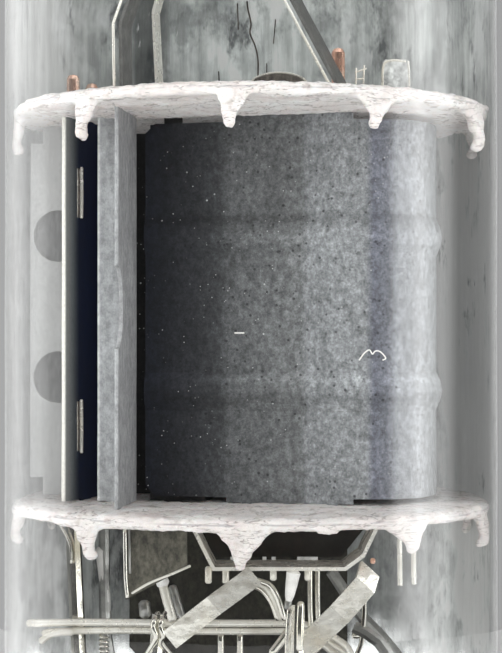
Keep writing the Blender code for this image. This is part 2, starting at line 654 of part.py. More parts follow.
def inner_half_plan():
    """The inner half: crimp flange at the left, channel side, back wall."""
    slope = (FRONT_AT_TONGUE - FRONT_AT_EDGE) / (TONGUE_LEFT - FACE_LEFT)
    channel_top = INNER_CHANNEL - 0.7 * MM
    inset = 0.3 * MM
    return [(FACE_LEFT + inset, -(FRONT_AT_EDGE + slope * inset - CRIMP_GAP)),
            (channel_top, -(FRONT_AT_EDGE + slope * (channel_top - FACE_LEFT) - CRIMP_GAP)),
            (INNER_CHANNEL, -INNER_BACK), (FACE_RIGHT + END_REACH - CRIMP_GAP, -INNER_BACK)]


def anode(side, turned_back):
    """One anode: outer half with beads, tongue and dropped wings, and inner half."""
    levels = [(SHEET_FOOT, 0.0)]
    for rib in RIBS_AT:
        for share, push in ((-1.0, 0.0), (-0.5, 0.72), (0.0, 1.0), (0.5, 0.72), (1.0, 0.0)):
            levels.append((sheet_height(rib) + share * RIB_HALF_HEIGHT, push * RIB_DEPTH))
    levels.append((SHEET_TOP, 0.0))
    plan = front_face_plan()
    inner_plan = inner_half_plan()
    if turned_back:
        plan = turn_back(plan)
        inner_plan = turn_back(inner_plan)
    outer = sheet_wall(side + "_anode_outer", plan, levels, "carbon_coat")
    far = FACE_RIGHT + END_REACH + 2 * SHEET
    near = FACE_LEFT - 2 * SHEET
    over = SHEET_TOP + SHEET
    under = SHEET_FOOT - SHEET
    cuts = [(near, TONGUE_LEFT, SHEET_TOP - WING_DROP_TOP, over),
            (TONGUE_RIGHT, far, SHEET_TOP - WING_DROP_TOP, over),
            (near, TONGUE_LEFT, under, SHEET_FOOT + WING_DROP_BOTTOM),
            (TONGUE_RIGHT, far, under, SHEET_FOOT + WING_DROP_BOTTOM)]
    cut_edges(outer, cuts, turned_back)
    corner = bmesh.new()
    for height in (SHEET_TOP - WING_DROP_TOP, SHEET_FOOT + WING_DROP_BOTTOM):
        x = REAR_SHIFT - FACE_LEFT if turned_back else FACE_LEFT
        place = (Matrix.Translation(Vector((x, 0.0, height))) @ Matrix.Rotation(math.pi / 4, 4, "Y")
                 @ Matrix.Diagonal((CORNER_CUT, 2 * BULB_RADIUS, CORNER_CUT, 1.0)))
        bmesh.ops.create_cube(corner, size=1.0, matrix=place)
    boolean(outer, add_cutter(side + "_anode_corners", corner), "DIFFERENCE")
    smooth_mesh(outer.data)
    add_tabs(outer, plan, (0.30, 0.52))

    drop = WING_DROP_TOP
    inner = sheet_wall(side + "_anode_inner", inner_plan,
                       [(SHEET_FOOT, 0.0), (SHEET_TOP - drop, 0.0)], "carbon_coat")
    add_tabs(inner, inner_plan, (0.07, 0.80))


def control_unit(side, middle_x, front, tall_side):
    """Grid rods, wound grid, oval cathode and folded heater of one triode."""
    for index, sign in enumerate((-1, 1)):
        x = middle_x + sign * ROD_SPACING / 2
        rise = TALL_ROD_RISE if sign == tall_side else ROD_RISE
        rod("%s_grid_rod_%d" % (side, index + 1), (x, -front), LOWER_MICA_UNDERSIDE - ROD_REACH,
            UPPER_MICA_TOP + rise, ROD_RADIUS, "copper")

    low = SHEET_FOOT + GRID_MARGIN
    rise = SHEET_TOP - GRID_MARGIN - low
    per_turn = 8
    half = ROD_SPACING / 2
    points = []
    for index in range(GRID_TURNS * per_turn + 1):
        turn = math.tau * index / per_turn
        shift = half if math.cos(turn) >= 0 else -half
        points.append(Vector((middle_x + shift + GRID_DEPTH * math.cos(turn),
                              -front + GRID_DEPTH * math.sin(turn),
                              low + rise * index / (GRID_TURNS * per_turn))))
    wire(side + "_grid", points, GRID_WIRE, "tungsten", sides=4)

    oval = arc((middle_x, -front), (CATHODE_HALF_WIDTH - CATHODE_WALL / 2,
                                    CATHODE_HALF_DEPTH - CATHODE_WALL / 2), 0, 337.5, 15)
    sheet_wall(side + "_cathode", oval, [(LOWER_MICA_UNDERSIDE - CATHODE_REACH, 0.0),
                                         (UPPER_MICA_TOP + CATHODE_REACH, 0.0)],
               "grey_coat", CATHODE_WALL, closed=True)

    high = UPPER_MICA_TOP - HEATER_BEND
    low = LOWER_MICA_UNDERSIDE - HEATER_LEG
    bend = LOWER_MICA_TOP + HEATER_BEND
    strands = 4
    route = []
    for index in range(strands):
        x = middle_x + HEATER_HALF_WIDTH * (2 * index / (strands - 1) - 1)
        foot = low if index in (0, strands - 1) else bend
        ends = (foot, high) if index % 2 == 0 else (high, foot)
        route += [ahead(x, front, ends[0]), ahead(x, front, ends[1])]
    wire(side + "_heater", route, HEATER_WIRE, "white_ceramic")


def fins():
    """The left fins: a holed panel with an arm, and a strip with a blade."""
    arm = [(ARM_EDGE[0], -ARM_EDGE[1]), (ARM_FOLD[0], -ARM_FOLD[1])]
    plan = arm + [(PANEL_EDGE[0], -PANEL_EDGE[1])]
    fin = sheet_wall("side_fin", plan, [(SHEET_FOOT, 0.0), (SHEET_TOP, 0.0)], "grey_coat")
    cuts = bmesh.new()
    for share in PANEL_HOLES_AT:
        put_cylinder(cuts, ahead(PANEL_EDGE[0] + PANEL_HOLE_INSET, PANEL_EDGE[1], sheet_height(share)),
                     PANEL_HOLE_RADIUS, 6 * SHEET, 18, "Y")
    wide, tall = PANEL_CORNER
    for height in (SHEET_TOP, SHEET_FOOT):
        put_box(cuts, ahead(PANEL_EDGE[0], PANEL_EDGE[1], height), (2 * wide, 6 * SHEET, 2 * tall))
    x, y, turn = point_on(arm, ARM_SLOT_ALONG)
    for share in ARM_SLOTS_AT:
        put_box(cuts, (x, y, sheet_height(share)),
                (ARM_SLOT_SIZE[0], 6 * SHEET, ARM_SLOT_SIZE[1]), turn)
    boolean(fin, add_cutter("side_fin_cuts", cuts), "DIFFERENCE")
    add_tabs(fin, plan, (0.22, 0.72))

    plan = [(STRIP_EDGE[0], -STRIP_EDGE[1]), (STRIP_FOLD[0], -STRIP_FOLD[1]),
            (BLADE_EDGE[0], -BLADE_EDGE[1])]
    fin = sheet_wall("front_fin", plan, [(SHEET_FOOT, 0.0), (SHEET_TOP, 0.0)], "grey_coat")
    dent = bmesh.new()
    deep, tall = BLADE_DENT
    place = (Matrix.Translation(ahead(*BLADE_EDGE, sheet_height(BLADE_DENT_AT)))
             @ Matrix.Diagonal((1.0, deep, tall, 1.0)) @ Matrix.Rotation(math.pi / 2, 4, "Y"))
    bmesh.ops.create_cone(dent, cap_ends=True, segments=24, radius1=1.0, radius2=1.0,
                          depth=8 * SHEET, matrix=place)
    boolean(fin, add_cutter("blade_dent", dent), "DIFFERENCE")
    add_tabs(fin, plan, (0.15, 0.915))


def mica(name, underside, claws):
    """A coated disc with pointed claws bent down round its rim, and its holes."""
    shape = bmesh.new()
    put_cylinder(shape, (0.0, 0.0, underside + MICA_THICKNESS / 2), MICA_RADIUS, MICA_THICKNESS, 56)
    disc = add_part(name, mesh_of(name, shape), "white_mica")

    fingers = bmesh.new()
    for angle in claws:
        middle = around(MICA_RADIUS - CLAW_THICKNESS * 0.3, angle,
                        underside - CLAW_LENGTH / 2 + MICA_THICKNESS / 2)
        place = (Matrix.Translation(middle) @ Matrix.Rotation(math.radians(angle), 4, "Z")
                 @ Matrix.Rotation(math.radians(4), 4, "X")
                 @ Matrix.Diagonal((1.0, CLAW_THICKNESS / CLAW_ROOT, 1.0, 1.0)))
        bmesh.ops.create_cone(fingers, cap_ends=True, segments=8, radius1=CLAW_TIP / 2,
                              radius2=CLAW_ROOT / 2, depth=CLAW_LENGTH, matrix=place)
    boolean(disc, add_cutter(name + "_claws", fingers), "UNION")

    holes = bmesh.new()
    level = underside + MICA_THICKNESS / 2
    deep = 4 * MICA_THICKNESS
    for x, y in UNIT_PLACES:
        for sign in (-1, 1):
            put_cylinder(holes, (x + sign * ROD_SPACING / 2, y, level), ROD_RADIUS + FIT_GAP, deep, 10)
        hole = CATHODE_HALF_WIDTH + FIT_GAP
        put_cylinder(holes, (x, y, level), hole, deep, 16,
                     squash=(CATHODE_HALF_DEPTH + FIT_GAP) / hole)
    for x, front in POSTS:
        put_cylinder(holes, ahead(x, front, level), ROD_RADIUS + FIT_GAP, deep, 10)
    for x, y, turn in TAB_PLACES:
        put_box(holes, (x, y, level), (TAB_WIDTH + 2 * FIT_GAP, SHEET + 2 * FIT_GAP, deep), turn)
    boolean(disc, add_cutter(name + "_holes", holes), "DIFFERENCE")


def posts():
    for index, (x, front) in enumerate(POSTS):
        rod("copper_post_%d" % (index + 1), (x, -front), POST_FOOT, POST_TOP, ROD_RADIUS, "copper")


def getter():
    """The getter's channel ring and the three ribbons that hold it."""
    outer = GETTER_RADIUS
    inner = GETTER_RADIUS - GETTER_CHANNEL
    top = GETTER_MIDDLE + GETTER_CHANNEL / 2
    foot = GETTER_MIDDLE - GETTER_CHANNEL / 2
    lip = GETTER_WALL
    profile = [(outer, top), (outer, foot), (inner, foot), (inner, top), (inner + lip, top),
               (inner + lip, foot + lip), (outer - lip, foot + lip), (outer - lip, top)]
    turned("getter_ring", profile, 24, "dull_nickel", (GETTER_X, 0.0), closed=True)

    struts = (("left", LEFT_STRUT, LEFT_STRUT_WIDTH, "dull_nickel"),
              ("rear", REAR_STRUT, REAR_STRUT_WIDTH, "bright_nickel"),
              ("right", RIGHT_STRUT, RIGHT_STRUT_WIDTH, "dull_nickel"))
    for (side, points, width, finish), angle in zip(struts, STRUT_ANGLES):
        line = route_in(STRUT_FOOT, GETTER_FOOT, points)
        line.append(around((inner + outer) / 2, angle, GETTER_FOOT) + Vector((GETTER_X, 0.0, 0.0)))
        folded_strip("getter_strut_" + side, line, (*width, 0.0), finish, STRUT_THICKNESS)


def upper_fittings():
    """The round-topped radiator plate and the folded tab on the upper mica."""
    crown = UPPER_MICA_TOP + RADIATOR_RISE - RADIATOR_RADIUS
    outline = [(RADIATOR_X - RADIATOR_RADIUS, STRUT_FOOT), (RADIATOR_X + RADIATOR_RADIUS, STRUT_FOOT)]
    outline += arc((RADIATOR_X, crown), (RADIATOR_RADIUS, RADIATOR_RADIUS), 0, 180, 12)
    flat_plate("radiator_plate", outline, -RADIATOR_BACK, "carbon_coat")
    line = [ahead(x, front, STRUT_FOOT) for x, front in MICA_TAB]
    folded_strip("mica_tab", line, (0.0, 0.0, MICA_TAB_HEIGHT), "dull_nickel")


def lower_fittings():
    """Bracket, baffles, shield, tie bar, straps, sleeves and hairpin under the lower mica."""
    bends = BRACKET_BENDS
    heights = (HANG_TOP, HANG_TOP, BRACKET_FLOOR, BRACKET_FLOOR,
               BRACKET_FLOOR + BRACKET_BEND_RISE, HANG_TOP, HANG_TOP)
    line = [ahead(x, BRACKET_FRONT, height) for x, height in zip(bends, heights)]
    folded_strip("lower_bracket", line, (0.0, BRACKET_DEPTH, 0.0), "bright_nickel")
    outline = [(bends[1], HANG_TOP), (bends[2], BRACKET_FLOOR + FIT_GAP),
               (bends[3], BRACKET_FLOOR + FIT_GAP), (bends[5], HANG_TOP)]
    flat_plate("lower_baffle", outline, BAFFLE_FRONT, "carbon_coat")
    outline = [(x, between(STEM_SEAL, HANG_TOP, share)) for x, share in SHIELD_OUTLINE]
    flat_plate("lower_shield", outline, SHIELD_FRONT, "carbon_coat")
    left, right = REAR_BAFFLE_EDGES
    foot = between(STEM_SEAL, HANG_TOP, REAR_BAFFLE_FOOT)
    cut = REAR_BAFFLE_CORNER
    outline = [(left, HANG_TOP), (left, foot + cut), (left + cut, foot), (right - cut, foot),
               (right, foot + cut), (right, HANG_TOP)]
    flat_plate("rear_baffle", outline, -REAR_BAFFLE_BACK, "carbon_coat")

    level = between(STEM_SEAL, HANG_TOP, BAR_AT)
    bar = [ahead(BAR_INSET - MICA_RADIUS, BAR_FRONT, level), ahead(BAR_RIGHT, BAR_FRONT, level)]
    wire("tie_bar", bar, BAR_RADIUS, "bright_nickel", sides=12)

    for side, points, width in (("left", LEFT_STRAP, LEFT_STRAP_WIDTH),
                                ("right", RIGHT_STRAP, RIGHT_STRAP_WIDTH)):
        folded_strip("strap_" + side, route_in(STEM_SEAL, HANG_TOP, points),
                     (width[0], 0.0, width[1]), "bright_nickel")

    cores = ((UNIT_X + HEATER_HALF_WIDTH, UNIT_FRONT, HEATER_WIRE),
             (*LEAD_ROUTES[5][-1][:2], LEAD_RADIUS), (*LEAD_ROUTES[7][-1][:2], LEAD_RADIUS))
    for index, ((x, front, core), span) in enumerate(zip(cores, SLEEVE_SPANS)):
        foot, top = (between(STEM_SEAL, HANG_TOP, share) for share in span)
        bore = core + FIT_GAP
        skin = bore + SLEEVE_WALL
        profile = [(skin, top), (skin, foot), (bore, foot), (bore, top)]
        turned("lead_sleeve_%d" % (index + 1), profile, 10, "white_ceramic", (x, -front), closed=True)

    wire("mica_hairpin", through(route_in(STEM_SEAL, HANG_TOP, HAIRPIN), 4), HAIRPIN_WIRE,
         "bright_nickel", sides=6)


UNIT_PLACES = ((UNIT_X, -UNIT_FRONT), (REAR_SHIFT - UNIT_X, UNIT_FRONT))

glass()
base()
leads()
anode("front", False)
anode("rear", True)
fins()
control_unit("front", UNIT_X, UNIT_FRONT, 1)
control_unit("rear", REAR_SHIFT - UNIT_X, -UNIT_FRONT, 0)
mica("upper_mica", UPPER_MICA_UNDERSIDE, UPPER_CLAWS)
mica("lower_mica", LOWER_MICA_UNDERSIDE, LOWER_CLAWS)
posts()
getter()
upper_fittings()
lower_fittings()
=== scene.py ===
import math
import random

import bmesh
import bpy
from mathutils import Matrix, Vector, noise


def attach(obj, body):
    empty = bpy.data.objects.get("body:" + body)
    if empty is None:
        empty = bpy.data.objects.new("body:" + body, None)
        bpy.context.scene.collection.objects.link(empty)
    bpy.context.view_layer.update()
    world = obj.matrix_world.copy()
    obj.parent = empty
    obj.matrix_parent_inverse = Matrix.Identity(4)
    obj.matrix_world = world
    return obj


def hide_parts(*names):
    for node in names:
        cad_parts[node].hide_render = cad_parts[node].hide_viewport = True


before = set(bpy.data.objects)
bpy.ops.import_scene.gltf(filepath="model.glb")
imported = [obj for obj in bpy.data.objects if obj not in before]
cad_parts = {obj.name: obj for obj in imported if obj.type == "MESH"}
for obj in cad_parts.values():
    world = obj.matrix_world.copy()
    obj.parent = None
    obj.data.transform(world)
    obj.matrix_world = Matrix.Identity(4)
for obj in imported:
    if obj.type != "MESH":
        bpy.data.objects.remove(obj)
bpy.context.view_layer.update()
MM = 0.001
SCENE = bpy.context.scene


# Camera: a point (x, y) of the 502 x 653 image looks along a known ray
FOCAL = 1777.0
HORIZON = 340.0
MIDDLE = 250.0
CAMERA_FRONT = 130.0
CAMERA_HEIGHT = 63.5


def seen(x, y, front):
    """The place, in metres, that shows at image point (x, y), this far in front (mm)."""
    depth = CAMERA_FRONT - front
    return Vector(((x - MIDDLE) * depth / FOCAL, -front,
                   CAMERA_HEIGHT + (HORIZON - y) * depth / FOCAL)) * MM


def around(radius, angle, height):
    """A place on a circle about the tube in mm; angle 0 is the front, + to the right."""
    turn = math.radians(angle)
    return Vector((radius * math.sin(turn), -radius * math.cos(turn), height)) * MM


# Node building

class Look:
    """A material with one Principled shader, and short calls that add nodes to it."""

    def __init__(self, name, color=(0.5, 0.5, 0.5), rough=0.5, metal=0.0, **sockets):
        self.material = bpy.data.materials.new(name)
        self.material.use_nodes = True
        self.tree = self.material.node_tree
        self.shader = self.tree.nodes["Principled BSDF"]
        self.output = self.tree.nodes["Material Output"]
        self.set("Base Color", (*color, 1.0))
        self.set("Roughness", rough)
        self.set("Metallic", metal)
        for key, value in sockets.items():
            self.set(key.replace("_", " "), value)
        place = self.tree.nodes.new("ShaderNodeTexCoord").outputs["Object"]
        self.place = self.node("ShaderNodeVectorMath", (place, (1.0 / MM, 1.0 / MM, 1.0 / MM)),
                               operation="MULTIPLY").outputs[0]
        self.axes = self.node("ShaderNodeSeparateXYZ", (self.place,)).outputs

    def set(self, socket, value):
        if isinstance(value, bpy.types.NodeSocket):
            self.tree.links.new(value, self.shader.inputs[socket])
        else:
            self.shader.inputs[socket].default_value = value

    def node(self, kind, inputs=(), **settings):
        made = self.tree.nodes.new(kind)
        for key, value in settings.items():
            setattr(made, key, value)
        for socket, value in zip(made.inputs, inputs):
            if isinstance(value, bpy.types.NodeSocket):
                self.tree.links.new(value, socket)
            elif value is not None:
                socket.default_value = value
        return made

    def math(self, operation, first, second=0.0, clamp=False):
        return self.node("ShaderNodeMath", (first, second), operation=operation,
                         use_clamp=clamp).outputs[0]

    def noise(self, size, detail=3.0, rough=0.55, stretch=(1.0, 1.0, 1.0), shift=0.0):
        """Noise with features of this size in mm, drawn out along an axis by stretch."""
        scaled = self.node("ShaderNodeMapping", (self.place, (shift, shift, shift), (0.0, 0.0, 0.0),
                                                 tuple(1.0 / (size * s) for s in stretch)))
        made = self.node("ShaderNodeTexNoise", (scaled.outputs[0],))
        made.inputs["Scale"].default_value = 1.0
        made.inputs["Detail"].default_value = detail
        made.inputs["Roughness"].default_value = rough
        return made.outputs[0]

    def spots(self, size, reach, shift=0.0):
        """1 inside round spots whose cells are this size in mm, 0 between them."""
        scaled = self.node("ShaderNodeMapping", (self.place, (shift, shift, shift), (0.0, 0.0, 0.0),
                                                 (1.0 / size, 1.0 / size, 1.0 / size)))
        made = self.node("ShaderNodeTexVoronoi", (scaled.outputs[0],))
        made.inputs["Scale"].default_value = 1.0
        return self.span(made.outputs["Distance"], reach, reach * 0.6)

    def span(self, value, low, high, to_low=0.0, to_high=1.0):
        """Maps low..high to to_low..to_high, and clamps."""
        made = self.node("ShaderNodeMapRange", (value, low, high, to_low, to_high))
        return made.outputs[0]

    def ramp(self, value, stops):
        """A colour ramp; stops are (place, colour or grey)."""
        made = self.node("ShaderNodeValToRGB", (value,))
        ramp = made.color_ramp
        while len(ramp.elements) < len(stops):
            ramp.elements.new(1.0)
        for element, (place, _) in zip(ramp.elements, stops):
            element.position = place
        for element, (_, color) in zip(ramp.elements, stops):
            color = color if isinstance(color, tuple) else (color, color, color)
            element.color = (*color, 1.0)
        return made.outputs[0]

    def across(self, axis, low, high, stops):
        """A colour ramp along an axis from low to high in mm."""
        return self.ramp(self.span(self.axes[axis], low, high),
                         [((place - low) / (high - low), color) for place, color in stops])

    def mix(self, share, first, second, blend="MIX"):
        made = self.node("ShaderNodeMix", data_type="RGBA", blend_type=blend)
        for socket, value in ((made.inputs[0], share), (made.inputs[6], first), (made.inputs[7], second)):
            if isinstance(value, bpy.types.NodeSocket):
                self.tree.links.new(value, socket)
            elif isinstance(value, tuple):
                socket.default_value = (*value, 1.0)
            else:
                socket.default_value = value
        return made.outputs[2]

    def bump(self, height, strength=0.3, depth=0.05, under=None):
        """A bump from a height, this deep in mm."""
        made = self.node("ShaderNodeBump")
        made.inputs["Strength"].default_value = strength
        made.inputs["Distance"].default_value = depth * MM
        self.tree.links.new(height, made.inputs["Height"])
        if under is not None:
            self.tree.links.new(under, made.inputs["Normal"])
        self.tree.links.new(made.outputs[0], self.shader.inputs["Normal"])
        return made.outputs[0]

    def clear_for_light(self):
        """Lamps and bounced light pass straight through; sight meets the glass."""
        rays = self.tree.nodes.new("ShaderNodeLightPath").outputs
        passes = self.math("MAXIMUM", rays["Is Shadow Ray"], rays["Is Diffuse Ray"])
        mirrored = self.math("GREATER_THAN", rays["Is Glossy Ray"], rays["Is Transmission Ray"])
        passes = self.math("MAXIMUM", passes, mirrored)
        clear = self.tree.nodes.new("ShaderNodeBsdfTransparent")
        both = self.tree.nodes.new("ShaderNodeMixShader")
        self.tree.links.new(passes, both.inputs[0])
        self.tree.links.new(self.shader.outputs[0], both.inputs[1])
        self.tree.links.new(clear.outputs[0], both.inputs[2])
        self.tree.links.new(both.outputs[0], self.output.inputs["Surface"])


# Materials

# Tones of the two pressed beads of an anode, tuned to the photo: (height in mm, factor)
# Painted shade and painted highlight: each bead is darker on one side and lighter on the other.
BEAD_SHADE_AND_HIGHLIGHT = ((52.0, 1.0), (59.0, 1.0), (59.45, 0.72), (59.9, 1.0), (60.35, 1.05), (60.8, 1.38),
              (61.25, 1.02), (69.9, 1.0), (70.6, 1.18), (71.2, 0.98), (71.95, 0.74), (72.5, 1.0), (80.0, 1.0))


def carbon(name, stops, turned=False):
    """Sprayed carbon on pressed sheet: tones by place (painted shade and reflection on the outer anodes),
    mottled grain, pits, dust, painted shade and highlight on the beads.
    """
    look = Look(name, rough=0.6, Specular_IOR_Level=0.3)
    along = look.axes[0]
    if turned:
        along = look.math("SUBTRACT", 2.6, along)
    # On the outer anodes these stops carry painted shade at the left and painted reflection at the right.
    tone = look.ramp(look.span(along, -8.0, 14.0), [((x + 8.0) / 22.0, color) for x, color in stops])
    mottle = look.noise(0.44, 5.0, 0.74, (1.0, 1.0, 1.25))
    cloud = look.noise(2.6, 4.0, 0.6, (1.0, 1.0, 2.0), 15.0)
    grain = look.noise(0.17, 2.0, 0.7)
    # Painted shade and highlight on the two beads, by height.
    tone = look.mix(1.0, tone, look.across(2, 52.0, 80.0, BEAD_SHADE_AND_HIGHLIGHT), "MULTIPLY")
    tone = look.mix(1.0, tone, look.ramp(cloud, [(0.28, 0.78), (0.72, 1.22)]), "MULTIPLY")
    tone = look.mix(1.0, tone, look.ramp(mottle, [(0.32, 0.50), (0.5, 0.98), (0.68, 1.58)]), "MULTIPLY")
    tone = look.mix(1.0, tone, look.ramp(grain, [(0.3, 0.74), (0.7, 1.30)]), "MULTIPLY")
    pits = look.math("MULTIPLY", look.spots(0.6, 0.19, 41.0),
                     look.span(look.noise(2.0, 2.0, shift=31.0), 0.42, 0.52))
    tone = look.mix(look.math("MULTIPLY", pits, 0.7), tone, (0.008, 0.008, 0.010))
    dust = look.math("MULTIPLY", look.spots(0.9, 0.085),
                     look.span(look.noise(3.1, 2.0, shift=7.0), 0.52, 0.6))
    specks = look.math("MULTIPLY", look.spots(0.42, 0.12, 3.0),
                       look.span(look.noise(1.3, 2.0, shift=2.0), 0.5, 0.62))
    tone = look.mix(look.math("MULTIPLY", look.math("MAXIMUM", dust, specks), 0.7), tone,
                    (0.62, 0.63, 0.62))
    look.set("Base Color", tone)
    look.set("Roughness", look.span(cloud, 0.2, 0.8, 0.50, 0.74))
    look.bump(look.noise(0.12, 3.0, 0.7), 0.3, 0.015, look.bump(mottle, 0.25, 0.05))
    return look.material


def grey_sheet(name, tone, stops=None, rough=0.55, contrast=0.3):
    """Zirconium-grey or oxidised sheet with a sandy, scuffed grain."""
    look = Look(name, rough=rough, Specular_IOR_Level=0.35)
    cloud = look.noise(1.9, 4.0, 0.6, (1.0, 1.0, 2.0))
    mottle = look.noise(0.5, 5.0, 0.75, (1.0, 1.0, 1.6), 17.0)
    grain = look.noise(0.2, 3.0, 0.7)
    color = tone
    if stops is not None:
        color = look.across(0, stops[0][0], stops[-1][0], stops)
    color = look.mix(1.0, color, look.ramp(cloud, [(0.25, 0.82), (0.75, 1.18)]), "MULTIPLY")
    color = look.mix(1.0, color, look.ramp(mottle, [(0.34, 1.0 - contrast), (0.66, 1.0 + contrast)]),
                     "MULTIPLY")
    color = look.mix(1.0, color, look.ramp(grain, [(0.3, 0.86), (0.7, 1.16)]), "MULTIPLY")
    look.set("Base Color", color)
    look.set("Roughness", look.span(cloud, 0.2, 0.8, rough - 0.1, rough + 0.12))
    look.bump(grain, 0.4, 0.03, look.bump(mottle, 0.3, 0.05))
    return look.material


def metal(name, color, dark, rough, size=1.2, stretch=(1.0, 1.0, 1.0), warm=None, metallic=1.0, wave=0.03):
    """Bare metal with cloudy tarnish, fine rub marks and a little waviness."""
    look = Look(name, color, rough, metallic)
    cloud = look.noise(size, 4.0, 0.65, stretch)
    tone = look.mix(look.span(cloud, 0.42, 0.74), color, dark)
    if warm is not None:
        tone = look.mix(look.span(look.noise(size * 2.2, 2.0, shift=5.0), 0.5, 0.7), tone, warm)
    look.set("Base Color", tone)
    look.set("Roughness", look.span(cloud, 0.3, 0.7, rough * 0.7, rough * 1.5))
    look.bump(look.noise(size * 0.35, 3.0, 0.6, stretch), 0.3, wave)
    return look.material


def mica_white(name, seam, coat_painted_light):
    """Thick insulating coat: cream and pinkish, layered, cracked; its underside carries a faint
    painted glow that stands in for the light that comes through the disc."""
    look = Look(name, rough=0.4, Specular_IOR_Level=0.3, Subsurface_Weight=0.1,
                Subsurface_Scale=0.0005)
    cloud = look.noise(2.6, 4.0, 0.6)
    stain = look.noise(0.8, 5.0, 0.7, shift=4.0)
    tone = look.ramp(cloud, [(0.3, (0.68, 0.62, 0.60)), (0.5, (0.76, 0.72, 0.70)),
                             (0.68, (0.81, 0.80, 0.79))])
    tone = look.mix(look.span(stain, 0.54, 0.72), tone, (0.52, 0.47, 0.44))
    layer = look.noise(1.3, 3.0, 0.6, (2.2, 2.2, 0.35), 13.0)
    line = look.math("SUBTRACT", 1.0, look.span(look.math("ABSOLUTE", look.math(
        "SUBTRACT", layer, 0.5)), 0.004, 0.018))
    tone = look.mix(look.math("MULTIPLY", line, 0.65), tone, (0.20, 0.17, 0.16))
    run = look.noise(0.55, 4.0, 0.7, (1.0, 1.0, 3.0), 27.0)
    tone = look.mix(look.math("MULTIPLY", look.span(run, 0.60, 0.70), 0.35), tone, (0.46, 0.40, 0.37))
    seam_line = look.math("SUBTRACT", 1.0, look.span(look.math("ABSOLUTE", look.math(
        "SUBTRACT", look.axes[2], seam)), 0.02, 0.09))
    broken = look.math("MULTIPLY", seam_line, look.span(look.noise(2.2, 2.0, shift=9.0), 0.42, 0.55))
    tone = look.mix(look.math("MULTIPLY", broken, 0.6), tone, (0.30, 0.28, 0.29))
    # Painted light: this factor lifts the upper disc's coat (1.1) above the lower disc's (0.98).
    tone = look.mix(1.0, tone, (coat_painted_light, coat_painted_light, coat_painted_light), "MULTIPLY")
    look.set("Base Color", tone)
    normal = look.tree.nodes.new("ShaderNodeNewGeometry").outputs["Normal"]
    facing = look.node("ShaderNodeSeparateXYZ", (normal,))
    # Painted light: a faint glow on downward faces, standing in for light through the disc.
    look.set("Emission Color", tone)
    look.set("Emission Strength", look.span(facing.outputs[2], -0.2, -0.8, 0.0, 0.14))
    look.set("Roughness", look.span(stain, 0.3, 0.7, 0.22, 0.60))
    folds = look.bump(layer, 0.6, 0.25)
    look.bump(look.noise(0.34, 4.0, 0.65), 0.7, 0.14, look.bump(look.noise(1.1, 3.0, 0.6), 0.4, 0.3, folds))
    return look.material


def white_ceramic(name):
    look = Look(name, rough=0.55)
    cloud = look.noise(0.8, 4.0, 0.6)
    look.set("Base Color", look.ramp(cloud, [(0.3, (0.70, 0.69, 0.66)), (0.65, (0.88, 0.87, 0.85))]))
    look.set("Roughness", look.span(cloud, 0.3, 0.7, 0.42, 0.68))
    look.bump(look.noise(0.15, 3.0, 0.6), 0.3, 0.02)
    return look.material


def bulb_glass(name):
    """Soda glass with a faint waviness."""
    look = Look(name, (0.97, 0.985, 0.98), 0.0, Transmission_Weight=1.0, IOR=1.48)
    look.bump(look.noise(9.0, 2.0, 0.5, (1.0, 1.0, 2.2)), 0.06, 0.3)
    look.clear_for_light()
    return look.material


class Film(Look):
    """A look for the deposit on the rear inner wall, which thins out forward and downward."""

    def __init__(self, name, **sockets):
        super().__init__(name, **sockets)
        self.streak = self.noise(0.9, 4.0, 0.7, (1.0, 1.0, 16.0))
        self.cloud = self.noise(4.5, 5.0, 0.65, (1.0, 1.0, 1.8), 3.0)
        self.stain = self.span(self.noise(3.0, 5.0, 0.7, (1.0, 1.0, 2.0), 37.0), 0.56, 0.66)
        cover = self.span(self.streak, 0.25, 0.75, 0.84, 0.98)
        cover = self.math("ADD", cover, self.math("MULTIPLY", self.stain, 0.15))
        cover = self.math("ADD", cover, self.span(self.cloud, 0.3, 0.7, 0.04, -0.08))
        forward = self.span(self.axes[1], -8.0, -1.0)
        ragged = self.math("ADD", self.axes[2], self.span(self.cloud, 0.3, 0.7, -2.5, 2.5))
        fade = self.math("MULTIPLY", forward, self.span(ragged, 37.5, 41.5))
        self.set("Alpha", self.math("MULTIPLY", cover, fade, clamp=True))
        self.bump(self.streak, 0.2, 0.1)


